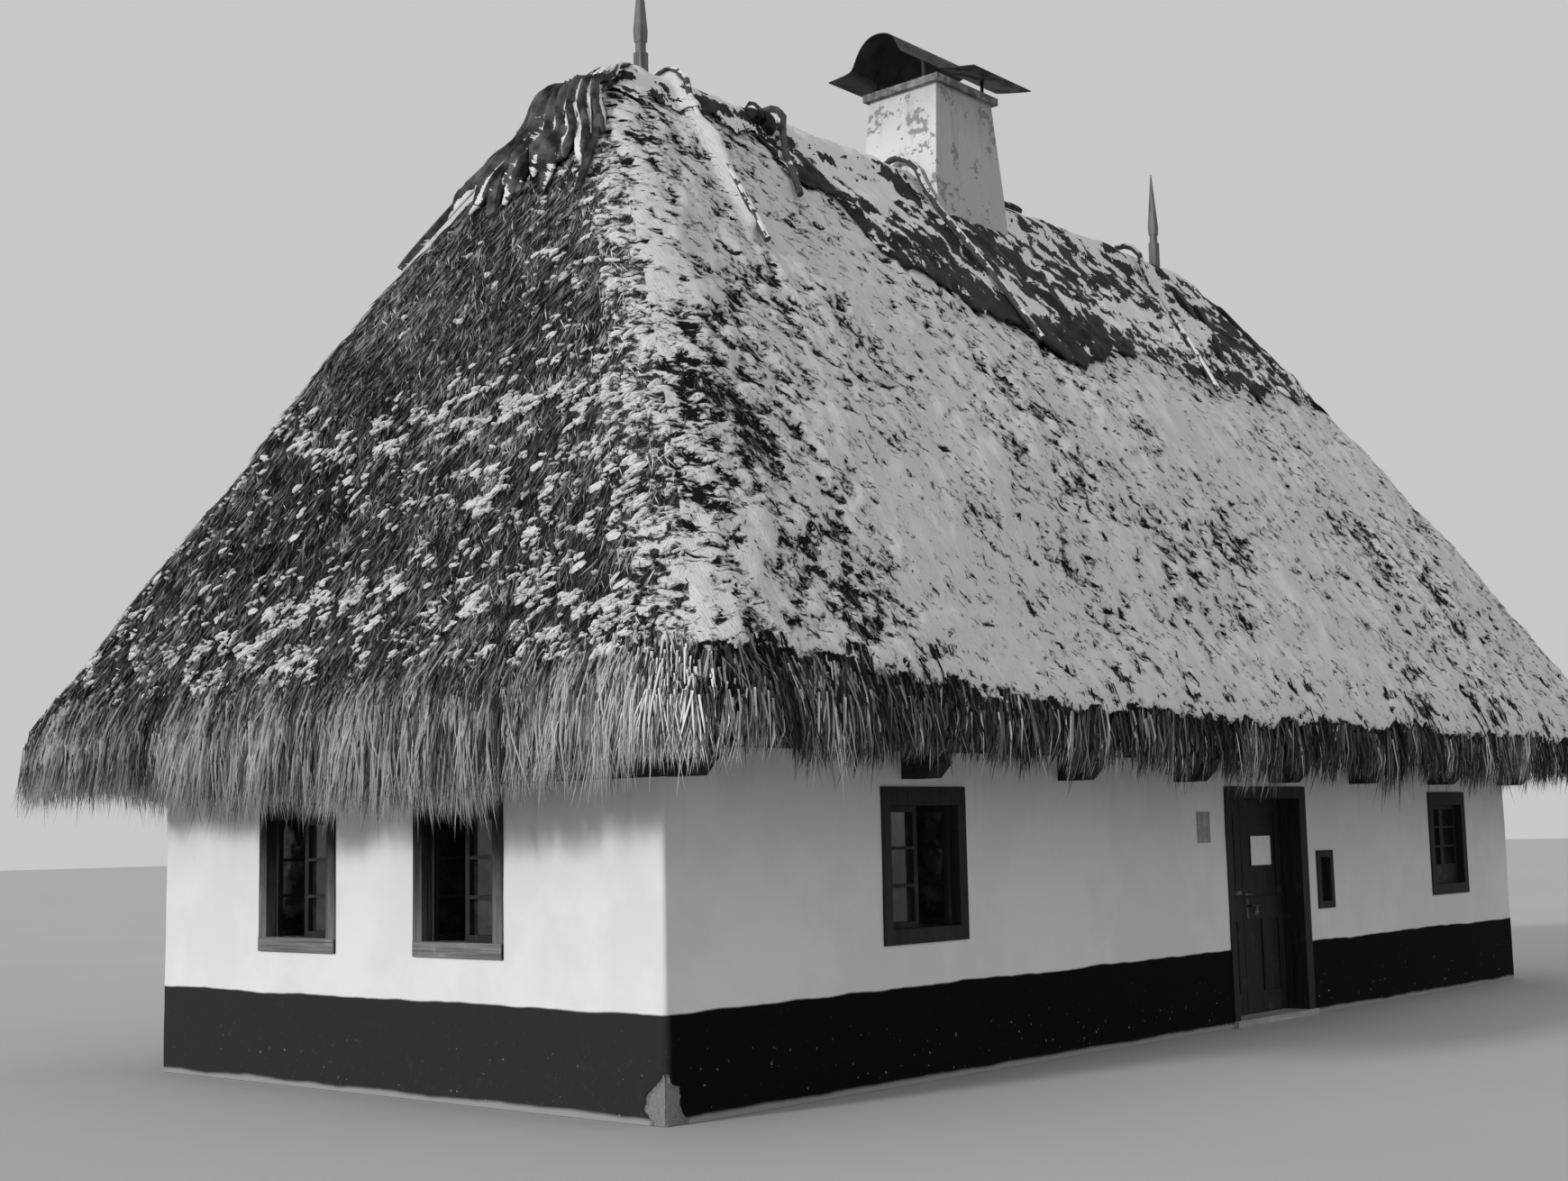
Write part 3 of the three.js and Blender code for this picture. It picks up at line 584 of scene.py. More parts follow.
@named_finish("pale floor")
def floor_paint(g, shader):
    tone = g.noise(g.object_space(), 0.35, 2.0)
    dress(g, shader, g.mix(tone, grey(0.44), grey(0.48)), 0.95)


# Mesh helpers


def link(obj):
    bpy.context.scene.collection.objects.link(obj)
    return obj


def piece(name, mesh, material, body=HOUSE, replaces=()):
    """Puts a finished mesh in the scene, on its body."""
    obj = link(bpy.data.objects.new(name, mesh))
    mesh.materials.append(material)
    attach(obj, body)
    if replaces:
        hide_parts(*replaces)
    return obj


def repaint(node, material):
    """Gives a node of the frame its finish, and leaves its shape."""
    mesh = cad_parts[node].data
    mesh.materials.clear()
    mesh.materials.append(material)


def from_bmesh(bm, name, smooth=False):
    mesh = bpy.data.meshes.new(name)
    bm.normal_update()
    for face in bm.faces:
        face.smooth = smooth
    bm.to_mesh(mesh)
    bm.free()
    return mesh


def block(bm, low, high, bevel=0.0):
    """Adds a box from its lowest to its highest corner, with its edges eased."""
    size = [b - a for a, b in zip(low, high)]
    middle = [(a + b) / 2 for a, b in zip(low, high)]
    place = Matrix.Translation(middle) @ Matrix.Diagonal((*size, 1))
    made = bmesh.ops.create_cube(bm, size=1, matrix=place)
    if bevel:
        edges = list(dict.fromkeys(e for v in made["verts"] for e in v.link_edges))
        bmesh.ops.bevel(
            bm, geom=edges, offset=bevel, affect="EDGES", segments=2, profile=0.5, material=-1
        )


def block_piece(name, low, high, bevel, material, slot, body=HOUSE):
    bm = bmesh.new()
    block(bm, low, high, bevel)
    piece(name, from_bmesh(bm, name), material, body=body)


def grid_of(spots):
    """A grid of faces whose corners are the given rows of spots."""
    rows, columns = spots.shape[:2]
    bm = bmesh.new()
    bmesh.ops.create_grid(bm, x_segments=columns - 1, y_segments=rows - 1, size=1)
    for vert, spot in zip(bm.verts, spots.reshape(-1, 3).tolist()):
        vert.co = spot
    return bm


def put_attribute(mesh, name, values):
    layer = mesh.attributes.new(name, "FLOAT", "POINT")
    layer.data.foreach_set("value", np.asarray(values, np.float32))


def sample(points, scale, seed, octaves=2):
    """Smooth noise of about -1 to 1 at each point. scale is waves a metre, one or three."""
    shifted = points.reshape(-1, 3) * scale + seed * 17.3
    values = [noise.fractal(p, 0.9, 2.1, octaves) for p in shifted.tolist()]
    return np.array(values).reshape(points.shape[:-1]) * 1.8


def sample_line(x, scale, seed, octaves=2):
    """The same noise along a line."""
    return sample(np.stack([x, 0 * x, 0 * x], -1), scale, seed, octaves)


def smooth_step(value, low, high):
    t = np.clip((value - low) / (high - low), 0, 1)
    return t * t * (3 - 2 * t)


def mix(a, b, t):
    return a + (b - a) * t


def unit(vectors):
    return vectors / np.linalg.norm(vectors, axis=-1, keepdims=True)


# Roof form


def slope_ring(z):
    """Height, two ends and half width of the roof on its slopes."""
    t = (z - EAVE_Z) / (RIDGE_Z - EAVE_Z)
    swell = 4 * t * (1 - t)
    shoulder = 0.095 * max(0.0, 1 - abs(z - 2.65) / 0.45)
    left = mix(-EAVE_X, RIDGE_LEFT, t) - HIP_BULGE * swell - shoulder
    right = mix(EAVE_X, RIDGE_RIGHT, t) + HIP_BULGE * swell + shoulder
    half = mix(EAVE_Y, 0, t) + SLOPE_BULGE * swell + shoulder
    return z, left, right, half


class RoofProfile:
    """The outside of the roof from the eave's lip to the ridge, by the distance along it."""

    def __init__(self, inset):
        rows = [(z, -EAVE_X + i, EAVE_X - i, EAVE_Y - i) for z, i in EAVE_STEPS]
        rows += [slope_ring(z) for z in np.arange(2.65, 7.3, 0.15)]
        rows += [(z, RIDGE_LEFT + i, RIDGE_RIGHT - i, half) for z, i, half in RIDGE_STEPS]
        rows = np.array(rows)
        held_in = inset * np.clip((3.0 - rows[:, 0]) / 0.4, 0, 1)
        rows[:, 1] += held_in
        rows[:, 2] -= held_in
        rows[:, 3] -= held_in
        steps = np.hypot(np.diff(rows[:, 0]), np.diff(rows[:, 3]))
        self.distance = np.concatenate([[0], np.cumsum(steps)])
        self.length = self.distance[-1]
        self.rows = rows
        rise = np.gradient(rows[:, 0], self.distance)
        self.lean = {
            "left": np.arctan2(np.gradient(rows[:, 1], self.distance), rise),
            "right": np.arctan2(-np.gradient(rows[:, 2], self.distance), rise),
            "front": np.arctan2(-np.gradient(rows[:, 3], self.distance), rise),
        }
        self.lean["back"] = self.lean["front"]

    def column(self, index, s):
        return np.interp(s, self.distance, self.rows[:, index])

    def at_height(self, z):
        return np.interp(z, self.rows[:, 0], self.distance)

    def surface(self, side, f, s):
        """Points, outward directions and distance from each hip. f runs 0 to 1 from hip to hip."""
        left, right, half = (self.column(i, s) for i in (1, 2, 3))
        radius = np.minimum(HIP_RADIUS, half * 0.92)
        ring = ring_side(side, f, left, right, half, radius)
        leans = {k: np.interp(s, self.distance, v) for k, v in self.lean.items()}
        order = list(SIDES)
        at = order.index(side)
        before, after = order[at - 1], order[(at + 1) % 4]
        other = np.where(ring["along"] < 0, leans[before], leans[after])
        lean = mix(leans[side], other, np.sin(ring["turn"]) ** 2)
        flat = ring["out"] * np.cos(lean)[..., None]
        normal = np.stack([flat[..., 0], flat[..., 1], np.sin(lean)], -1)
        point = np.stack([ring["x"], ring["y"], self.column(0, s)], -1)
        return point, normal, ring["along"], ring["reach"]


def ring_side(side, f, left, right, half, radius):
    """Plan of one side of a roof ring, from the middle of one hip to the middle of the next."""
    angle = SIDES[side]
    tangent = np.array([math.cos(angle), math.sin(angle)])
    outward = np.array([math.sin(angle), -math.cos(angle)])
    if side in ("front", "back"):
        centre = (left + right) / 2 * tangent[0]
        straight = (right - left) / 2 - radius
        depth = half
    else:
        centre = 0 * left
        straight = half - radius
        depth = right if side == "right" else -left
    reach = straight + radius * math.pi / 4
    along = (2 * f - 1) * reach
    turn = np.clip(np.abs(along) - straight, 0, None) / radius
    sign = np.sign(along)
    sideways = centre + np.where(turn > 0, sign * (straight + radius * np.sin(turn)), along)
    away = depth - radius * (1 - np.cos(turn))
    spot = sideways[..., None] * tangent + away[..., None] * outward
    out = (sign * np.sin(turn))[..., None] * tangent + np.cos(turn)[..., None] * outward
    return {
        "x": spot[..., 0],
        "y": spot[..., 1],
        "out": out,
        "turn": turn,
        "along": along,
        "reach": reach,
    }


def inner_row(z):
    """Height, two ends and half width of the hollow under the straw."""
    fall_y = EAVE_Y / (RIDGE_Z - EAVE_Z)
    fall_x = (EAVE_X + RIDGE_LEFT) / (RIDGE_Z - EAVE_Z)
    end = INNER_END - fall_x * (z - PLATE_TOP)
    return z, -end, end, INNER_HALF - fall_y * (z - PLATE_TOP)


def snow_line(side, point):
    """Height below which the eave carries no snow."""
    if side == "front":
        marks = [-7.1, -6.4, -5.3, -3.9, -2.2, 7.1]
        return np.interp(point[..., 0], marks, [2.74, 2.70, 2.60, 2.47, 2.43, 2.41])
    return 2.68 if side == "left" else 2.5


def blown_plane(side, along, s):
    """Coordinates turned to the slant in which the snow lies on a side."""
    slant = {"front": 0.70, "left": -0.75, "back": -0.70, "right": 0.75}[side]
    down = along * math.cos(slant) - s * math.sin(slant)
    across = along * math.sin(slant) + s * math.cos(slant)
    if side == "front":
        return np.stack([down * 1.25, across * 0.88], -1)
    return np.stack([down, across], -1)


# Ends of the first rod on the front, in x and z
ROD_TOP = (-3.48, 7.78)
ROD_FOOT = (-3.97, 5.95)


def snow_heap(side, point):
    """1 along the first rod of the front, which lies under a heap of snow."""
    x, z = point[..., 0], point[..., 2]
    run = (ROD_TOP[1] - z) / (ROD_TOP[1] - ROD_FOOT[1])
    path = mix(ROD_TOP[0], ROD_FOOT[0], run)
    inside = smooth_step(z, ROD_FOOT[1] + 0.05, ROD_FOOT[1] + 0.2) * (side == "front")
    return inside * np.exp(-(((x - path - 0.02) / 0.085) ** 2))


def snow_cover(side, point, along, reach, s):
    """How much snow lies on the straw: over 0 is covered, about -1 to 1."""
    broad = sample(point, 0.6, 3, 3)
    patches = sample(point, 2.3, 4)
    blown = blown_plane(side, along, s)
    blown = np.concatenate([blown, np.zeros((*along.shape, 1))], -1)
    clumps = sample(blown, (5.0, 9.5, 1.0), 9 + len(side))
    full = 0.27 + 0.13 * broad + 0.10 * patches
    if side == "front":
        cover = full + 0.02 - 0.14 * smooth_step(along + reach, 2.3, 0.2)
    elif side == "back":
        bare = smooth_step(reach - np.abs(along), 2.2, 0.4)
        cover = mix(0.22, -0.12, bare) + 0.25 * broad + 0.2 * patches
    else:
        near = reach - along if side == "left" else reach + along
        sparse = (-0.62 if side == "left" else -0.28) + 0.10 * broad + 0.16 * patches
        near_hip = smooth_step(near + 0.30 * broad + 0.26 * patches, 0.85, 0.15)
        cover = mix(sparse, full - 0.20, near_hip)
    line = snow_line(side, point) + 0.05 * patches + 0.05 * clumps
    cover = cover - 1.8 * smooth_step(line - point[..., 2], -0.02, 0.08)
    cover = cover + (0.20 if side == "front" else 0.16) * clumps
    return cover + 0.5 * snow_heap(side, point)


def straw_relief(point):
    """Unevenness of the straw coat, outwards."""
    swells = sample(point, 0.7, 1) * 0.028
    tufts = sample(point, (5.5, 5.5, 2.2), 2, 3) * 0.012
    high = smooth_step(point[..., 2], 2.3, 2.9)
    return swells * high + tufts * mix(0.4, 1.0, high)


HEAP_HEIGHT = 0.085
COAT_SINK = 0.035  # how far the coat lies inside the roof's form


def coat_offset(side, point, along, reach, s):
    """Outward offset of the finished roof surface, and the snow value there."""
    cover = snow_cover(side, point, along, reach, s)
    depth = settings().snow_depth * smooth_step(cover, -0.12, 0.35)
    top = smooth_step(point[..., 2], 7.6, 7.0)
    heap = HEAP_HEIGHT * snow_heap(side, point)
    return (straw_relief(point) + depth) * top + heap - COAT_SINK, cover


def straw_tone(side, z, unevenness):
    """Base lightness of the straw, brighter in the weathered band at the eave, and darker on the
    front as painted shade.
    """
    low = smooth_step(z, 2.85, 2.4)
    # The front's low base is painted shade: the same straw, darkened because that side lies in
    # shade and its straw sits deep between the snow.
    base = {"left": 0.58, "front": 0.24, "right": 0.56, "back": 0.50}[side]
    band = {"left": 0.14, "front": 0.25, "right": 0.12, "back": 0.10}[side]
    top = 0.07 * smooth_step(z, 4.3, 6.0) if side == "left" else 0.0
    return base + band * low + top + 0.08 * unevenness


# Mesh spacing of each side, across and up, as shares of the coat step
COAT_STEPS = {"front": (1.0, 1.0), "left": (1.25, 1.0), "back": (2.1, 2.1), "right": (2.1, 2.1)}
LIP_INSET = 0.288
INNER_HEIGHTS = (INNER_TOP, 4.6, PLATE_TOP)
BOX_MARGIN = 0.01


def coat_side(side, profile):
    """One slope of the roof: a closed shell of straw with the snow on it."""
    wide, tall = (settings().coat_step * k for k in COAT_STEPS[side])
    long_side = side in ("front", "back")
    columns = int(2 * (EAVE_X if long_side else EAVE_Y) / wide)
    rows = int(profile.length / tall)
    f, s = np.meshgrid(np.linspace(0, 1, columns + 1), np.linspace(0, profile.length, rows + 1))
    point, normal, along, reach = profile.surface(side, f, s)
    offset, cover = coat_offset(side, point, along, reach, s)
    eased = smooth_step(s, 0.0, 0.25) * smooth_step(profile.length - s, 0.0, 0.3)
    outer = point + normal * (offset * eased)[..., None]
    for axis, limit in ((0, EAVE_X - BOX_MARGIN), (1, EAVE_Y - BOX_MARGIN)):
        outer[..., axis] = np.clip(outer[..., axis], -limit, limit)

    inner = []
    lip = (LIP_Z, -EAVE_X + LIP_INSET, EAVE_X - LIP_INSET, EAVE_Y - LIP_INSET)
    for z, left, right, half in [inner_row(z) for z in INNER_HEIGHTS] + [lip]:
        flat = np.full(columns + 1, 1.0)
        ring = ring_side(side, f[0], left * flat, right * flat, half * flat, 0.01 * flat)
        inner.append(np.stack([ring["x"], ring["y"], z * flat], -1))
    whole = np.concatenate([outer, np.array(inner), outer[:1]])

    extra = len(whole) - len(outer)
    to_hip = along + reach if side in ("front", "right") else along - reach
    planes = {
        "laid": np.stack([along, s], -1),
        "blown": blown_plane(side, along, s),
        "hip": np.stack([to_hip, s], -1),
    }
    cover = np.concatenate([cover, np.full((extra, columns + 1), -2.0)]).ravel()
    # The coat's tone sits 0.30 below the loose straws': painted shade in the gaps between the
    # straws.
    tone = straw_tone(side, whole[..., 2], sample(whole, 0.9, 21, 3)).ravel() - 0.30
    bm = grid_of(whole)
    numbers = bm.verts.layers.int.new("number")
    for index, vert in enumerate(bm.verts):
        vert[numbers] = index
    bmesh.ops.remove_doubles(bm, verts=bm.verts, dist=1e-6)
    ends = [e for e in bm.edges if e.is_boundary]
    bmesh.ops.holes_fill(bm, edges=ends, sides=0)
    for edge in ends:
        edge.smooth = False
    if long_side:
        cut_for_chimney(bm)
    kept = np.array([v[numbers] for v in bm.verts])
    mesh = from_bmesh(bm, f"thatch_{side}_straw", smooth=True)
    put_attribute(mesh, "snow", cover[kept])
    put_attribute(mesh, "tone", tone[kept])
    corners = np.empty(len(mesh.loops), np.int32)
    mesh.loops.foreach_get("vertex_index", corners)
    for name, plane in planes.items():
        plane = np.concatenate([plane, np.repeat(plane[:1], extra, 0)]).reshape(-1, 2)
        layer = mesh.uv_layers.new(name=name)
        layer.data.foreach_set("uv", plane[kept][corners].ravel())
    piece(f"thatch_{side}_straw", mesh, coat_finish(), replaces=[f"thatch_{side}"])


CHIMNEY_HOLE = 0.40  # half its width


def cut_for_chimney(bm):
    """Leaves out the straw where the chimney stack comes through."""
    low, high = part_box("chimney_slab")
    middle = (low + high) / 2
    inside = []
    for face in bm.faces:
        spot = face.calc_center_median()
        close = abs(spot.x - middle.x) < CHIMNEY_HOLE and abs(spot.y) < CHIMNEY_HOLE
        if close and spot.z > 6.0 and len(face.verts) == 4:
            inside.append(face)
    bmesh.ops.delete(bm, geom=inside, context="FACES")


def build_thatch():
    profile = RoofProfile(settings().straw_inset)
    for side in SIDES:
        coat_side(side, profile)


# Loose straw


def triangles_of(bm):
    """Points and triangles of a mesh that is no longer needed."""
    bmesh.ops.triangulate(bm, faces=bm.faces)
    bm.verts.ensure_lookup_table()
    verts = np.array([v.co for v in bm.verts])
    faces = np.array([[v.index for v in face.verts] for face in bm.faces])
    bm.free()
    return verts, faces


def cone(segments, bottom, top, middle=0.0):
    """A cone of unit height."""
    bm = bmesh.new()
    bmesh.ops.create_cone(
        bm,
        cap_ends=True,
        cap_tris=False,
        segments=segments,
        radius1=bottom,
        radius2=top,
        depth=1,
        matrix=Matrix.Translation((0, 0, middle)),
    )
    return bm


def straw_templates(bends):
    """Thin three-sided straws of unit height along Z, each bent by its own amount along X."""
    made = []
    for bend in bends:
        bm = cone(3, 0.5, 0.0, middle=0.5)
        if bend:
            upright = [e for e in bm.edges if abs(e.verts[0].co.z - e.verts[1].co.z) > 0.5]
            bmesh.ops.subdivide_edges(bm, edges=upright, cuts=1)
            for vert in bm.verts:
                if 0.1 < vert.co.z < 0.9:
                    vert.co.x = vert.co.x * 1.6 + bend
                    vert.co.y *= 1.6
        made.append(triangles_of(bm))
    return made


def lump_templates(count):
    """Low lumps of unit size with uneven outlines."""
    dice = random.Random(settings().seed)
    made = []
    for _ in range(count):
        bm = cone(7, 1.0, 0.55)
        for vert in bm.verts:
            pull = dice.uniform(0.65, 1.25)
            vert.co.x *= pull
            vert.co.y *= pull
        made.append(triangles_of(bm))
    return made


def strew(name, templates, picks, places, tones, material):
    """One mesh of many small copies. places are 3 by 4 matrices and tones their lightness."""
    verts, faces, shades, start = [], [], [], 0
    for index, (shape, triangles) in enumerate(templates):
        chosen = picks == index
        count = int(chosen.sum())
        if not count:
            continue
        turned = np.einsum("nij,mj->nmi", places[chosen][:, :, :3], shape)
        turned += places[chosen][:, None, :, 3]
        offsets = start + np.arange(count)[:, None, None] * len(shape)
        verts.append(turned.reshape(-1, 3))
        faces.append((triangles[None] + offsets).reshape(-1, 3))
        tips = 0.10 * shape[:, 2][None, :]
        shades.append((tones[chosen][:, None] + tips).ravel())
        start += count * len(shape)
    mesh = bpy.data.meshes.new(name)
    mesh.from_pydata(np.concatenate(verts).tolist(), [], np.concatenate(faces).tolist())
    put_attribute(mesh, "tone", np.concatenate(shades))
    piece(name, mesh, material)


STRAW_MARGIN = 0.02


def clamp_to_box(places):
    """Keeps roots and tips inside the roof's box, so that none stands proud of it."""
    for axis, limit in ((0, EAVE_X - STRAW_MARGIN), (1, EAVE_Y - STRAW_MARGIN)):
        places[:, axis, 3] = np.clip(places[:, axis, 3], -limit, limit)
        tip = places[:, axis, 3] + places[:, axis, 2]
        places[:, axis, 2] += np.clip(tip, -limit, limit) - tip


def scatter(profile, count, lowest, margin, rng):
    """Random places on a side, denser low down: shares across it and distances up it."""
    low = float(profile.at_height(lowest))
    s = low + (profile.length - low - margin) * (1 - np.sqrt(rng.random(count)))
    return rng.random(count), s


def downhill(normal):
    """Directions down the slope and across it."""
    down = unit(np.array([0, 0, -1.0]) + normal * normal[:, 2:3])
    return down, np.cross(normal, down)


def strand_places(root, run, bend_towards, width):
    """Matrices that carry the upright unit straw to its root, run and width."""
    side = unit(np.cross(run, bend_towards))
    front = unit(np.cross(side, run))
    places = np.stack([front * width[:, None], side * width[:, None], run, root], -1)
    clamp_to_box(places)
    return places


LOOSE_COUNTS = {"front": 72000, "left": 49000, "back": 24000, "right": 11000}
LOOSE_SPREADS = {"left": 0.16, "front": 0.12, "right": 0.14, "back": 0.12}


def lying_straw(side, profile, rng):
    """Straws that lie down the slope and lift a little, thinned where snow covers them."""
    count = LOOSE_COUNTS[side]
    f, s = scatter(profile, count, 2.5, 0.15, rng)
    point, normal, along, reach = profile.surface(side, f, s)
    offset, cover = coat_offset(side, point, along, reach, s)
    poking = 0.02 if side == "front" else 0.04
    keep = (cover + rng.normal(0, 0.12, count) < -0.02) | (rng.random(count) < poking)
    point, normal, offset, cover = point[keep], normal[keep], offset[keep], cover[keep]
    total = len(point)
    root = point + normal * (offset - 0.008)[:, None]
    down, across = downhill(normal)
    combed = 0.22 * sample(point, 2.7, 33, 3)
    lean = rng.normal(0.22 if side == "left" else 0.0, 0.42, total) + combed
    lift = rng.uniform(0.03, 0.30, total) + 0.15 * (cover > 0)
    length = rng.uniform(0.06, 0.20, total) * np.where(cover > 0, 0.5, 1.0)
    way = unit(down + across * lean[:, None] + normal * lift[:, None])
    width = rng.uniform(0.011, 0.024, total) * np.where(cover > 0, 0.6, 1.0)
    tone = straw_tone(side, point[:, 2], sample(point, 1.1, 31))
    tufts = sample(point, (11.0, 11.0, 5.0), 37)
    # Tufts of bright and of dark straws: the dark ones are partly the straw's own tone, partly
    # painted shade in the gaps between tufts.
    bright_else_painted_shade = rng.random(total) < 0.45 + 0.35 * tufts
    tone = tone + np.where(bright_else_painted_shade, 0.24, -0.26) + rng.normal(0, LOOSE_SPREADS[side], total)
    places = strand_places(root, way * length[:, None], normal, width)
    picks = np.zeros(total, int)
    strew(f"loose_straw_{side}", straw_templates([0]), picks, places, tone, strand_finish())


# Streaks of snow on the gable side: their ends in y and z, half thickness and strength
GABLE_STREAKS = (
    ((1.40, 4.64), (-0.03, 4.51), 0.12, 0.34),
    ((-0.03, 4.51), (-2.19, 4.43), 0.18, 0.32),
    ((2.54, 3.06), (0.16, 2.79), 0.16, 0.28),
    ((0.69, 3.19), (-0.66, 3.24), 0.14, 0.32),
    ((-1.61, 3.06), (-2.46, 2.89), 0.20, 0.40),
    ((-1.2, 3.75), (-2.4, 3.5), 0.25, 0.20),
)
LUMP_TRIES = 34000
LUMP_SHAPES = 4


def lump_share(point, near):
    """How likely snow is to be caught at a point of the gable's straw."""
    y, z = point[:, 1], point[:, 2]
    share = 0.03 + 0.10 * smooth_step(z, 4.7, 4.1) * smooth_step(z, 2.62, 2.8)
    for (y1, z1), (y2, z2), thick, gain in GABLE_STREAKS:
        t = np.clip((y - y1) / (y2 - y1), -0.05, 1.05)
        away = (z - mix(z1, z2, t)) / (thick * 1.3)
        aside = (y - mix(y1, y2, t)) / 0.35
        share = share + 2.2 * gain * np.exp(-(away**2) - aside**2)
    share = share + 0.22 * smooth_step(near, 1.3, 0.6)
    caught = sample(point, (1.0, 6.0, 8.0), 101, 3)
    return share * 0.85 * smooth_step(caught, -0.1, 0.6)


def snow_lumps(profile, rng):
    """Small slanting lumps of snow caught in the straw of the gable side."""
    f, s = scatter(profile, LUMP_TRIES, 2.66, 0.4, rng)
    point, normal, along, reach = profile.surface("left", f, s)
    offset, cover = coat_offset("left", point, along, reach, s)
    kept = rng.random(LUMP_TRIES) < lump_share(point, reach - along)
    kept &= cover < 0.1
    point, normal, offset = point[kept], normal[kept], offset[kept]
    total = len(point)
    down, across = downhill(normal)
    slant = rng.normal(0.50, 0.28, total)[:, None]
    way = unit(across * np.cos(slant) - down * np.sin(slant))
    length = np.clip(rng.lognormal(math.log(0.026), 0.5, total), 0.01, 0.08)
    ratio = rng.uniform(0.20, 0.40, total)
    columns = [
        way * length[:, None],
        np.cross(normal, way) * (length * ratio)[:, None],
        normal * rng.uniform(0.010, 0.018, total)[:, None],
        point + normal * (offset + 0.015)[:, None],
    ]
    places = np.stack(columns, -1)
    clamp_to_box(places)
    picks = rng.integers(0, LUMP_SHAPES, total)
    tones = np.full(total, 1.0)
    strew("snow_in_straw", lump_templates(LUMP_SHAPES), picks, places, tones, snow_finish())


def hem_height(side, point):
    """Height of the straw tips along an eave."""
    if side == "front":
        return np.interp(point[:, 0], [-7, -4.5, -1, 7], [2.12, 2.09, 2.01, 2.02])
    if side == "left":
        marks = [-3.6, -3.2, -2.5, -1.7, 0.1, 2.0, 3.2]
        return np.interp(point[:, 1], marks, [2.12, 2.10, 1.97, 1.87, 1.90, 2.02, 2.10])
    return np.full(len(point), 2.02)


EAVE_COUNTS = {"front": 10500, "left": 9500, "back": 3800, "right": 2600}
# Mean lightness of the hanging straws of a side, and its spread. The front's low mean is painted
# shade: the same straw, darkened because that side stands in shade.
EAVE_TONES = {
    "front": (0.34, 0.24),
    "left": (0.86, 0.26),
    "back": (0.70, 0.2),
    "right": (0.74, 0.2),
}
EAVE_BENDS = (0.5, 1.2, 2.2)


def hanging_straw(side, profile, rng):
    """The shaggy eave: tufts that follow the rounded edge and hang below it."""
    count = EAVE_COUNTS[side]
    f = rng.random(count)
    z = 2.17 + 0.63 * rng.random(count) ** 0.9
    s = profile.at_height(z)
    point, normal, along, reach = profile.surface(side, f, s)
    offset, cover = coat_offset(side, point, along, reach, s)
    bare = cover < 0.15
    point, normal, offset, z, along = (k[bare] for k in (point, normal, offset, z, along))
    total = len(point)
    flat_out = unit(normal * np.array([1, 1, 0]))
    across = np.cross(flat_out, np.array([0, 0, 1.0]))
    layer = rng.uniform(-0.03, 0.012, total)
    root = point + normal * (offset * 0.6 + layer)[:, None]
    strip = np.stack([along, z, 0 * z], -1)
    tufts = sample(strip, (4.2, 1.6, 1.0), 43 + len(side), 3)
    combing = sample(strip, (3.1, 2.5, 1.0), 47 + len(side))
    hem = hem_height(side, point) - 0.09 - 0.08 * tufts + np.abs(rng.normal(0, 0.05, total))
    stray = rng.random(total) < 0.08
    hem = np.where(stray, hem - rng.uniform(0.02, 0.14, total), hem)
    short = np.minimum(rng.uniform(0.15, 0.45, total), z - hem)
    drop = np.maximum(np.where(rng.random(total) < 0.5, z - hem, short), 0.08)
    sway = (0.16 * combing + rng.normal(0, 0.15, total)) * drop
    above = smooth_step(z, 2.3, 2.75)
    outwards = mix(-0.03, 0.10, above) * drop / 0.3 + rng.normal(0.0, 0.02, total)
    run = np.array([0, 0, -1.0]) * drop[:, None]
    run = run + across * sway[:, None] + flat_out * outwards[:, None]
    width = rng.uniform(0.009, 0.017, total)
    picks = rng.integers(0, len(EAVE_BENDS), total)
    middle, spread = EAVE_TONES[side]
    fresh = smooth_step(z - 0.16 * tufts, 2.84, 2.46)
    tone = mix(middle - 0.30, middle + 0.08, fresh) + 0.20 * combing + rng.normal(0, spread, total)
    # Painted light: the front's straws lighten towards the near corner, where the eave turns
    # towards the light.
    if side == "front":
        tone += 0.16 * smooth_step(point[:, 0], -5.2, -7.0)
    places = strand_places(root, run, flat_out, width)
    strew(f"eave_straw_{side}", straw_templates(EAVE_BENDS), picks, places, tone, strand_finish())


def build_loose_straw():
    profile = RoofProfile(settings().straw_inset)
    for order, side in enumerate(SIDES):
        rng = np.random.default_rng(settings().seed + order)
        lying_straw(side, profile, rng)
        hanging_straw(side, profile, rng)
    snow_lumps(profile, np.random.default_rng(settings().seed + 11))


# Ridge: felt, rods and posts

FELT_THICK = 0.008


def felt_edge(side, x):
    """Height of the felt's ragged lower edge on a long slope."""
    marks = [-4.4, -2.9, -2.6, -2.15, -2.0, -1.6, -1.0, -0.35, 0.05, 0.6, 1.47, 2.7, 4.9]
    front = [7.3, 7.35, 7.0, 6.7, 6.35, 6.1, 5.9, 5.9, 5.62, 5.85, 5.98, 5.96, 6.1]
    heights = front if side == "front" else [6.3] * len(marks)
    return np.interp(x, marks, heights)


def laid_sheet(name, side, profile, f, s, lift, snow, bleached=False, replaces=()):
    """A piece of felt laid on a side of the roof, lifted off it by lift."""
    point, normal, along, reach = profile.surface(side, f, s)
    offset = coat_offset(side, point, along, reach, s)[0]
    lifted = point + normal * (np.maximum(offset, -0.02) + lift)[..., None]
    mesh = from_bmesh(grid_of(lifted), name, smooth=True)
    put_attribute(mesh, "snow", snow.ravel())
    sheet = piece(name, mesh, felt_finish(bleached), replaces=replaces)
    solid = sheet.modifiers.new("Thickness", "SOLIDIFY")
    solid.thickness = FELT_THICK
    solid.offset = 1.0


RIDGE_GRIDS = {"front": (230, 44), "back": (120, 18)}
# Where the felt on the ridge is humped, along x, and how high
HUMPS = ((2.0, 0.02), (2.95, 0.035))


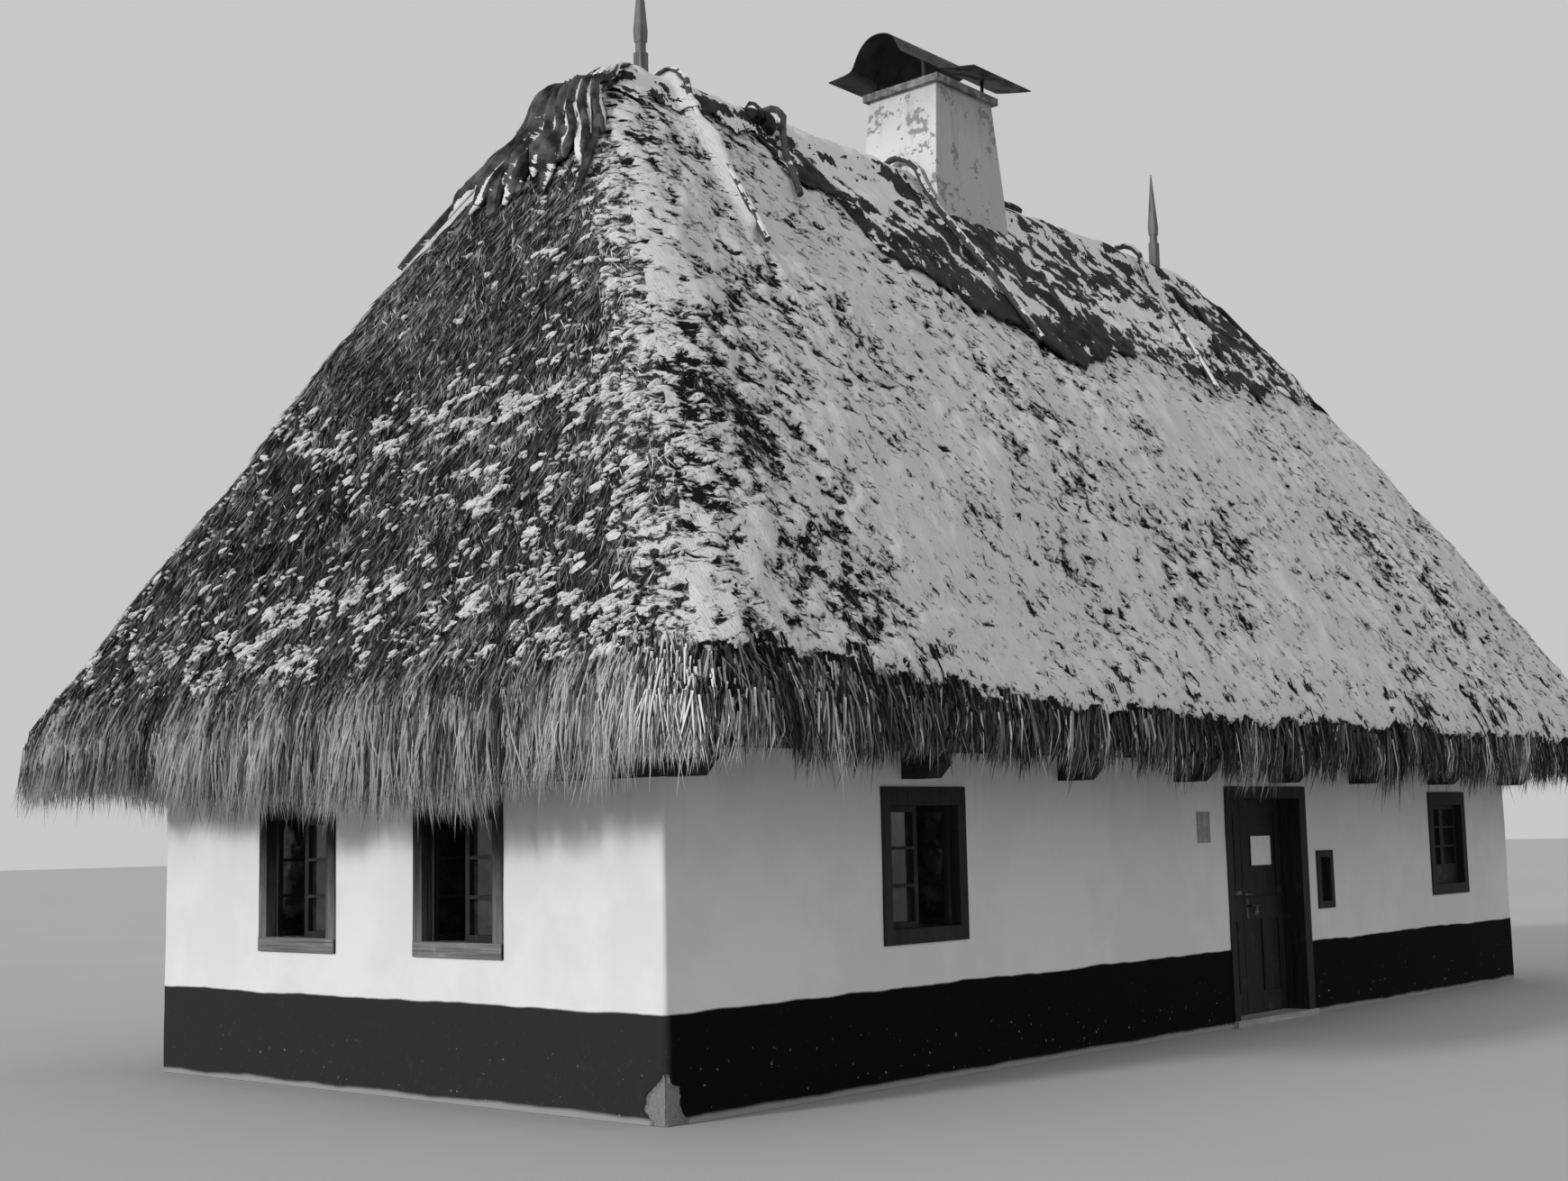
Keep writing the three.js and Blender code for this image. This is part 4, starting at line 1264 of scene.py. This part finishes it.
def ridge_cover(side, profile, replaces=()):
    """Felt laid over the top of one long slope, with snow caught on it."""
    columns, rows = RIDGE_GRIDS[side]
    f, v = np.meshgrid(np.linspace(0.0, 1.0, columns + 1), np.linspace(0, 1, rows + 1))
    x = mix(RIDGE_LEFT - 0.2, RIDGE_RIGHT + 0.2, f[0] if side == "front" else 1 - f[0])
    edge = felt_edge(side, x) + 0.09 * sample_line(x, 4.1, 51, 4)
    s = mix(profile.at_height(edge)[None, :], profile.length, v)
    point = profile.surface(side, f, s)[0]
    z = point[..., 2]
    creases = 0.012 * sample(point, (5.0, 5.0, 1.6), 53, 3)
    humps = sum(height * np.exp(-(((point[..., 0] - at) / 0.28) ** 2)) for at, height in HUMPS)
    humps *= smooth_step(z, 7.0, 7.6)
    patches = sample(point, 1.5, 55)
    fine = sample(point, (5.0, 5.0, 7.0), 57)
    bare_hem = smooth_step(z - edge, 0.65, 0.15)
    bare_hem *= smooth_step(x, -2.9, -2.4) * mix(1.0, 0.3, smooth_step(x, 0.3, 0.9))
    bare_hem *= mix(0.2, 1.0, smooth_step(patches + 0.6 * fine, -0.2, 0.3))
    bare_hem *= 1 - 0.8 * np.exp(-(((x + 1.75) / 0.3) ** 2))
    snow = 0.04 + 0.30 * patches + 0.30 * fine - 0.62 * bare_hem
    snow += 0.35 * smooth_step(z, 7.5, 7.68)
    lift = 0.016 + creases + humps
    laid_sheet(f"ridge_felt_{side}", side, profile, f, s, lift, snow, replaces=replaces)


# Lowest height of each pleat over the left hip, from the back to the front
PLEAT_FEET = np.array([6.40, 6.58, 6.30, 6.52, 6.30, 6.48, 6.34, 6.58, 6.50, 6.80, 6.75])
PLEATS = len(PLEAT_FEET) - 1
HIP_SPAN = (0.06, 0.985)
HIP_GRID = (200, 30)


def hip_cover(profile):
    """Felt pleated over the top of the left hip, each pleat with its own length."""
    columns, rows = HIP_GRID
    f, v = np.meshgrid(np.linspace(*HIP_SPAN, columns + 1), np.linspace(0, 1, rows + 1))
    across = (f[0] - HIP_SPAN[0]) / (HIP_SPAN[1] - HIP_SPAN[0])
    pleat = across * PLEATS
    turn = pleat - np.floor(pleat)
    low = PLEAT_FEET[np.floor(pleat).astype(int)] + 0.9 * (turn - 0.5) ** 2
    low = low + 0.03 * sample_line(across, 23.0, 81)
    s = mix(profile.at_height(low)[None, :], profile.length - 0.02, v)
    point = profile.surface("left", f, s)[0]
    fan = pleat + 0.5 * sample(point, 1.3, 83)
    wave = np.abs(2 * (fan - np.floor(fan)) - 1)
    fold = 0.06 * (1 - wave) ** 1.7 * smooth_step(v, 1.0, 0.55) * smooth_step(v, 0.0, 0.12)
    furrow = (wave - 0.55) + 0.5 * sample(point, (3, 3, 5), 85)
    wander = sample(point, (1.1, 1.1, 1.9), 89)
    stripes = (0.7 + wander) * np.sin(2 * np.pi * fan + 0.8 + 1.8 * wander) + 0.6 * furrow
    snow = -0.20 + 0.50 * stripes + 0.5 * smooth_step(point[..., 2], 7.3, 7.6)
    bulge = 0.05 + 0.04 * sample(point, 2.2, 87)
    lift = 0.03 + fold + bulge * np.sin(np.pi * v) ** 0.7
    laid_sheet("hip_felt_left", "left", profile, f, s, lift, snow, bleached=True)


# Section of a strip: shares of its half width and of its height
STRIP_SECTION = ((-1, 0.0), (-0.8, 0.85), (0, 1.0), (0.8, 0.85), (1, 0.0))
STRIP_RINGS = 12


def batten(bm, side, profile, start, end, width, height):
    """A flat strip along the roof from one share across it and height to another."""
    count = len(STRIP_SECTION)
    t = np.linspace(0, 1, STRIP_RINGS)
    f, z = mix(start[0], end[0], t), mix(start[1], end[1], t)
    point, normal = profile.surface(side, f, profile.at_height(z))[:2]
    across = unit(np.cross(normal, unit(np.gradient(point, axis=0))))
    taper = 0.75 + 0.25 * np.sin(np.pi * t) ** 0.5
    rings = []
    for aside, up in STRIP_SECTION:
        reach_out = across * (aside * width / 2 * taper)[:, None]
        rings.append(point + reach_out + normal * (0.012 + up * height * taper)[:, None])
    verts = [[bm.verts.new(spot) for spot in ring] for ring in np.stack(rings, 1).tolist()]
    for a, b in zip(verts, verts[1:]):
        for i in range(count):
            j = (i + 1) % count
            bm.faces.new((a[i], a[j], b[j], b[i]))
    bm.faces.new(list(reversed(verts[0])))
    bm.faces.new(verts[-1])


# Each strip from its start to its end, in shares across the side and heights, then its width
# and its height
HIP_STRIPS = (
    ((0.97, 7.40), (0.842, 6.20), 0.08, 0.03),
    ((0.70, 7.45), (0.72, 6.57), 0.07, 0.03),
    ((0.578, 7.3), (0.584, 6.62), 0.09, 0.03),
    ((0.30, 7.3), (0.53, 6.38), 0.08, 0.03),
    ((0.193, 7.1), (0.44, 6.22), 0.12, 0.05),
    ((0.16, 7.0), (0.271, 6.50), 0.09, 0.05),
    ((0.118, 6.75), (0.073, 6.0), 0.06, 0.06),
)
FRONT_STRIPS = (
    ((0.874, 7.30), (0.833, 6.82), 0.12, 0.06),
    ((0.885, 7.10), (0.790, 6.26), 0.10, 0.06),
    ((0.965, 7.25), (0.932, 6.56), 0.10, 0.06),
    ((0.162, 7.66), (0.168, 7.50), 0.13, 0.09),
    ((0.181, 7.60), (0.184, 7.42), 0.13, 0.08),
    ((0.585, 7.66), (0.632, 7.68), 0.10, 0.06),
)


def strips(name, side, profile, shapes, snow, bleached=False):
    bm = bmesh.new()
    for start, end, width, height in shapes:
        batten(bm, side, profile, start, end, width, height)
    bmesh.ops.recalc_face_normals(bm, faces=bm.faces)
    mesh = from_bmesh(bm, name)
    spots = np.array([v.co for v in mesh.vertices])
    put_attribute(mesh, "snow", snow + 0.35 * sample(spots, 4.0, 91))
    piece(name, mesh, felt_finish(bleached))


BARE_ROD = 2


def build_ridge():
    profile = RoofProfile(settings().straw_inset)
    ridge_cover("front", profile, replaces=["ridge_felt"])
    ridge_cover("back", profile)
    hip_cover(profile)
    strips("hip_strips", "left", profile, HIP_STRIPS, -0.22, bleached=True)
    strips("front_strips", "front", profile, FRONT_STRIPS, -0.5)
    for index in range(1, 5):
        repaint(f"ridge_rod_{index}", rod_finish(snowy=index != BARE_ROD))
    for index in (1, 2):
        repaint(f"ridge_post_{index}", timber_finish("grey", "z"))


# Walls

WALLS = ("front_left", "front_right", "over_door", "back", "gable_left", "gable_right")
PLASTER_SPACING = (0.14, 0.14, 0.12)
CORNER_WEAR = 0.03
CHIP_CORNER = Vector((-WALL_X, -WALL_Y, 0.16))
CHIP_REACH = 0.55
CHIP_SPACING = 0.018
CHIP_CUTS = (20, 16, 28)
BARE_PLATE = ((-0.13, -WALL_Y - 0.004, 1.51), (0.07, -WALL_Y + 0.012, 1.76))


def slice_across(bm, geometry, axis, level):
    """Cuts faces along a plane square to an axis."""
    spot, normal = [0, 0, 0], [0, 0, 0]
    spot[axis] = level
    normal[axis] = 1
    bmesh.ops.bisect_plane(bm, geom=geometry, dist=1e-5, plane_co=spot, plane_no=normal)


def at_corner(vert):
    """True on the upright outer edges of the house."""
    return abs(abs(vert.co.x) - WALL_X) < 1e-3 and abs(abs(vert.co.y) - WALL_Y) < 1e-3


def refine_corner(bm):
    """Finer faces round the broken plaster at the foot of the near corner."""
    start = (CHIP_CORNER.x, CHIP_CORNER.y, 0.0)
    for axis, count in enumerate(CHIP_CUTS):
        for i in range(1, count):
            near = [
                face
                for face in bm.faces
                if (face.calc_center_median() - CHIP_CORNER).length < CHIP_REACH
            ]
            parts = dict.fromkeys(v for face in near for v in face.verts)
            edges = dict.fromkeys(e for face in near for e in face.edges)
            slice_across(bm, [*parts, *edges, *near], axis, start[axis] + i * CHIP_SPACING)


def chip_depth(spots):
    """1 where the plaster has broken away: low down on both sides of the near corner."""
    near = np.abs(spots[:, 0] + WALL_X) + np.abs(spots[:, 1] + WALL_Y)
    ragged = sample(spots, 7.0, 71, 3)
    reach = 0.17 * (1 - np.clip(spots[:, 2] / 0.42, 0, 1)) + 0.05 * ragged
    return smooth_step(reach - near, -0.012, 0.012) * (spots[:, 2] < 0.5)


def plaster_wall(place):
    """A wall with hand-laid plaster: its faces wave a little and its corners are worn round."""
    node, name = f"wall_{place}", f"plaster_{place}"
    bm = bmesh.new()
    bm.from_mesh(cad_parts[node].data)
    bmesh.ops.remove_doubles(bm, verts=bm.verts, dist=1e-5)
    bmesh.ops.dissolve_limit(bm, angle_limit=0.01, verts=bm.verts, edges=bm.edges)
    corners = [edge for edge in bm.edges if all(at_corner(v) for v in edge.verts)]
    if corners:
        bmesh.ops.bevel(
            bm,
            geom=corners,
            offset=CORNER_WEAR,
            affect="EDGES",
            segments=5,
            profile=0.5,
            material=-1,
        )
    low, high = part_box(node)
    for axis, spacing in enumerate(PLASTER_SPACING):
        count = max(1, round((high[axis] - low[axis]) / spacing))
        for i in range(1, count):
            level = low[axis] + (high[axis] - low[axis]) * i / count
            slice_across(bm, bm.verts[:] + bm.edges[:] + bm.faces[:], axis, level)
    refine_corner(bm)
    spots = np.array([v.co for v in bm.verts])
    waves = sample(spots, (0.9, 0.9, 1.3), 61, 3)
    chips = chip_depth(spots)
    for vert, wave, chip in zip(bm.verts, waves, chips):
        inward = 0.006 * (0.5 + 0.5 * wave) + 0.022 * chip
        if abs(vert.co.x) > WALL_X - 0.035:
            vert.co.x -= math.copysign(inward, vert.co.x)
        if abs(vert.co.y) > WALL_Y - 0.035:
            vert.co.y -= math.copysign(inward, vert.co.y)
    mesh = from_bmesh(bm, name)
    put_attribute(mesh, "chipped", chips)
    piece(name, mesh, plaster_finish(), replaces=[node])


def build_walls():
    for place in WALLS:
        plaster_wall(place)
    repaint("floor", floor_finish())
    repaint("threshold", timber_finish("pale", "x"))
    block_piece("wall_plate_bare", *BARE_PLATE, 0.002, plate_finish(), "iron")


# Timber


def build_timber():
    for index in range(1, 9):
        repaint(f"tie_beam_{index}", timber_finish("dark", "y"))
    for end, along in (("front", "x"), ("back", "x"), ("left", "y"), ("right", "y")):
        repaint(f"eave_plate_{end}", timber_finish("dark", along))
    repaint("ceiling_boards", timber_finish("grey", "x"))


# Windows

WINDOWS = ("front", "right", "gable_front", "gable_back")
OPEN_LEAVES = ("front_right", "gable_front_left", "gable_back_left")
PANES = 3
RAIL = 0.042
BAR = 0.022
REBATE = 0.006
HALF_PANE = 0.0015


def sill_board(name):
    """The board under a gable window, a little proud of its casing."""
    low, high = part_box(f"window_frame_{name}")
    start = (low.x - 0.006, low.y, low.z)
    end = (low.x + 0.02, high.y, low.z + 0.10)
    block_piece(f"sill_board_{name}", start, end, 0.003, timber_finish("grey", "y"), "grey_timber")


def open_panes(leaf):
    """Three panes in the rebates of a leaf that stands open."""
    low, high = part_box(f"window_leaf_{leaf}")
    size = high - low
    thin = 0 if size.x < size.y else 1
    long = 1 - thin
    clear = (size.z - 2 * RAIL - (PANES - 1) * BAR) / PANES
    middle = (low[thin] + high[thin]) / 2
    bm = bmesh.new()
    for i in range(PANES):
        bottom = low.z + RAIL + i * (clear + BAR)
        start, end = [0, 0, bottom - REBATE], [0, 0, bottom + clear + REBATE]
        start[thin], end[thin] = middle - HALF_PANE, middle + HALF_PANE
        start[long], end[long] = low[long] + RAIL - REBATE, high[long] - RAIL + REBATE
        block(bm, start, end)
    name = f"panes_{leaf}"
    piece(name, from_bmesh(bm, name), glass_finish())


def build_windows():
    for name in WINDOWS:
        if name.startswith("gable"):
            repaint(f"window_frame_{name}", casing_finish())
            sill_board(name)
        else:
            repaint(f"window_frame_{name}", timber_finish("dark", "z"))
        for side in ("left", "right"):
            repaint(f"window_leaf_{name}_{side}", timber_finish("dark", "z"))
    for node in ("window_frame_small", "window_leaf_small"):
        repaint(node, timber_finish("dark", "z"))
    for name in (*WINDOWS, "small"):
        repaint(f"glass_{name}", glass_finish())
    for leaf in OPEN_LEAVES:
        open_panes(leaf)


# Door

DOOR_PAPER = ((1.11, 1.30), (1.46, 1.55))
# Body and corners, in x and z, of each iron fitting
DOOR_FITTINGS = {
    "door_hasp": ("door_leaf", (0.955, 1.045), (1.10, 1.065)),
    "door_staple": ("half_leaf", (0.80, 1.055), (0.915, 1.09)),
    "door_keyhole_plate": ("door_leaf", (1.125, 0.865), (1.19, 0.965)),
}


def build_door():
    for node in ("door_frame", "door_leaf", "door_half_leaf"):
        repaint(node, timber_finish("dark", "z"))
    repaint("door_handle", metal_finish("forged iron"))
    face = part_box("door_leaf")[0].y
    (left, bottom), (right, top) = DOOR_PAPER
    low, high = (left, face - 0.002, bottom), (right, face + 0.003, top)
    block_piece("door_paper", low, high, 0.0, paper_finish(), "plaster", body="door_leaf")
    for name, (body, (left, bottom), (right, top)) in DOOR_FITTINGS.items():
        low, high = (left, face - 0.006, bottom), (right, face + 0.004, top)
        block_piece(name, low, high, 0.002, metal_finish("worn iron"), "iron", body=body)


# Chimney


def build_chimney():
    repaint("chimney_stack", chimney_finish())
    repaint("chimney_slab", mortar_finish())
    repaint("chimney_cap", metal_finish("blackened sheet"))


# Stage

CAMERA_AT = Vector((-14.647, -10.889, 1.65))
CAMERA_HEADING = math.radians(48.92)
CAMERA_PITCH = math.radians(6.94)
CAMERA_ROLL = math.radians(-1.21)
FLOOR_HALF = 150
FLOOR_DROP = 0.003


def camera_matrix():
    heading, pitch, roll = CAMERA_HEADING, CAMERA_PITCH, CAMERA_ROLL
    reach = math.cos(pitch)
    forward = Vector((math.sin(heading) * reach, math.cos(heading) * reach, math.sin(pitch)))
    level = Vector((math.cos(heading), -math.sin(heading), 0))
    upright = level.cross(forward)
    right = math.cos(roll) * level + math.sin(roll) * upright
    up = -math.sin(roll) * level + math.cos(roll) * upright
    turn = Matrix((right, up, -forward)).transposed()
    return Matrix.Translation(CAMERA_AT) @ turn.to_4x4()


def sun_lamp(name, strength, spread, direction):
    """A sun that shines along a direction, soft over an angle in degrees."""
    sun = bpy.data.lights.new(name, "SUN")
    sun.energy = strength
    sun.angle = math.radians(spread)
    lamp = link(bpy.data.objects.new(name, sun))
    lamp.rotation_euler = Vector(direction).to_track_quat("-Z", "Y").to_euler()


def build_stage():
    s = settings()
    scene = bpy.context.scene
    camera = link(bpy.data.objects.new("camera", bpy.data.cameras.new("camera")))
    camera.data.sensor_width = 36
    camera.data.lens = s.lens
    camera.data.clip_end = 400
    camera.matrix_world = camera_matrix()
    scene.camera = camera

    bm = bmesh.new()
    bmesh.ops.create_grid(bm, x_segments=1, y_segments=1, size=FLOOR_HALF)
    mesh = from_bmesh(bm, "studio_floor")
    mesh.materials.append(floor_paint())
    floor = link(bpy.data.objects.new("studio_floor", mesh))
    floor.location.z = -FLOOR_DROP

    sun_lamp("key", s.key_light, 7, (0.94, -0.16, -0.31))
    sun_lamp("fill", s.fill_light, 90, (-0.15, 0.95, -0.25))
    scene.world = bpy.data.worlds.new("studio")
    scene.world.use_nodes = True
    background = scene.world.node_tree.nodes["Background"].inputs
    background["Color"].default_value = grey(0.58)
    background["Strength"].default_value = 1.0
    scene.view_settings.view_transform = "Standard"


# Operators


class FarmhouseBuilder:
    """What every operator here shares."""

    bl_options = {"REGISTER", "UNDO"}

    def execute(self, context):
        self.build()
        return {"FINISHED"}


class FARMHOUSE_OT_walls(FarmhouseBuilder, bpy.types.Operator):
    """Plaster the walls and lay the floor"""

    bl_idname = "farmhouse.walls"
    bl_label = "Walls"
    build = staticmethod(build_walls)


class FARMHOUSE_OT_timber(FarmhouseBuilder, bpy.types.Operator):
    """Finish the beams, plates and ceiling"""

    bl_idname = "farmhouse.timber"
    bl_label = "Timber"
    build = staticmethod(build_timber)


class FARMHOUSE_OT_windows(FarmhouseBuilder, bpy.types.Operator):
    """Finish the windows and glaze the open leaves"""

    bl_idname = "farmhouse.windows"
    bl_label = "Windows"
    build = staticmethod(build_windows)


class FARMHOUSE_OT_door(FarmhouseBuilder, bpy.types.Operator):
    """Finish the door leaves and their fittings"""

    bl_idname = "farmhouse.door"
    bl_label = "Door"
    build = staticmethod(build_door)


class FARMHOUSE_OT_thatch(FarmhouseBuilder, bpy.types.Operator):
    """Lay the straw coat and the snow on it"""

    bl_idname = "farmhouse.thatch"
    bl_label = "Thatch"
    build = staticmethod(build_thatch)


class FARMHOUSE_OT_loose_straw(FarmhouseBuilder, bpy.types.Operator):
    """Strew loose straws over the slopes and hang the shaggy eaves"""

    bl_idname = "farmhouse.loose_straw"
    bl_label = "Loose Straw"
    build = staticmethod(build_loose_straw)


class FARMHOUSE_OT_ridge(FarmhouseBuilder, bpy.types.Operator):
    """Cover the ridge with felt, rods and posts"""

    bl_idname = "farmhouse.ridge"
    bl_label = "Ridge"
    build = staticmethod(build_ridge)


class FARMHOUSE_OT_chimney(FarmhouseBuilder, bpy.types.Operator):
    """Finish the chimney, its slab and its cap"""

    bl_idname = "farmhouse.chimney"
    bl_label = "Chimney"
    build = staticmethod(build_chimney)


class FARMHOUSE_OT_stage(FarmhouseBuilder, bpy.types.Operator):
    """Set the camera, the floor and the light"""

    bl_idname = "farmhouse.stage"
    bl_label = "Stage"
    build = staticmethod(build_stage)


OPERATORS = (
    FARMHOUSE_OT_stage,
    FARMHOUSE_OT_walls,
    FARMHOUSE_OT_timber,
    FARMHOUSE_OT_windows,
    FARMHOUSE_OT_door,
    FARMHOUSE_OT_thatch,
    FARMHOUSE_OT_loose_straw,
    FARMHOUSE_OT_ridge,
    FARMHOUSE_OT_chimney,
)


class FARMHOUSE_PT_panel(bpy.types.Panel):
    """Lists the settings and the steps of the farmhouse"""

    bl_label = "Farmhouse"
    bl_idname = "FARMHOUSE_PT_panel"
    bl_space_type = "VIEW_3D"
    bl_region_type = "UI"
    bl_category = "Farmhouse"

    def draw(self, context):
        for name in FarmhouseSettings.__annotations__:
            self.layout.prop(context.scene.farmhouse, name)
        for operator in OPERATORS:
            self.layout.operator(operator.bl_idname)


CLASSES = (FarmhouseSettings, *OPERATORS, FARMHOUSE_PT_panel)


def register():
    for cls in CLASSES:
        bpy.utils.register_class(cls)
    bpy.types.Scene.farmhouse = bpy.props.PointerProperty(type=FarmhouseSettings)


def unregister():
    del bpy.types.Scene.farmhouse
    for cls in reversed(CLASSES):
        bpy.utils.unregister_class(cls)


def main():
    register()
    for operator in OPERATORS:
        group, action = operator.bl_idname.split(".")
        getattr(getattr(bpy.ops, group), action)()


if __name__ == "__main__":
    main()
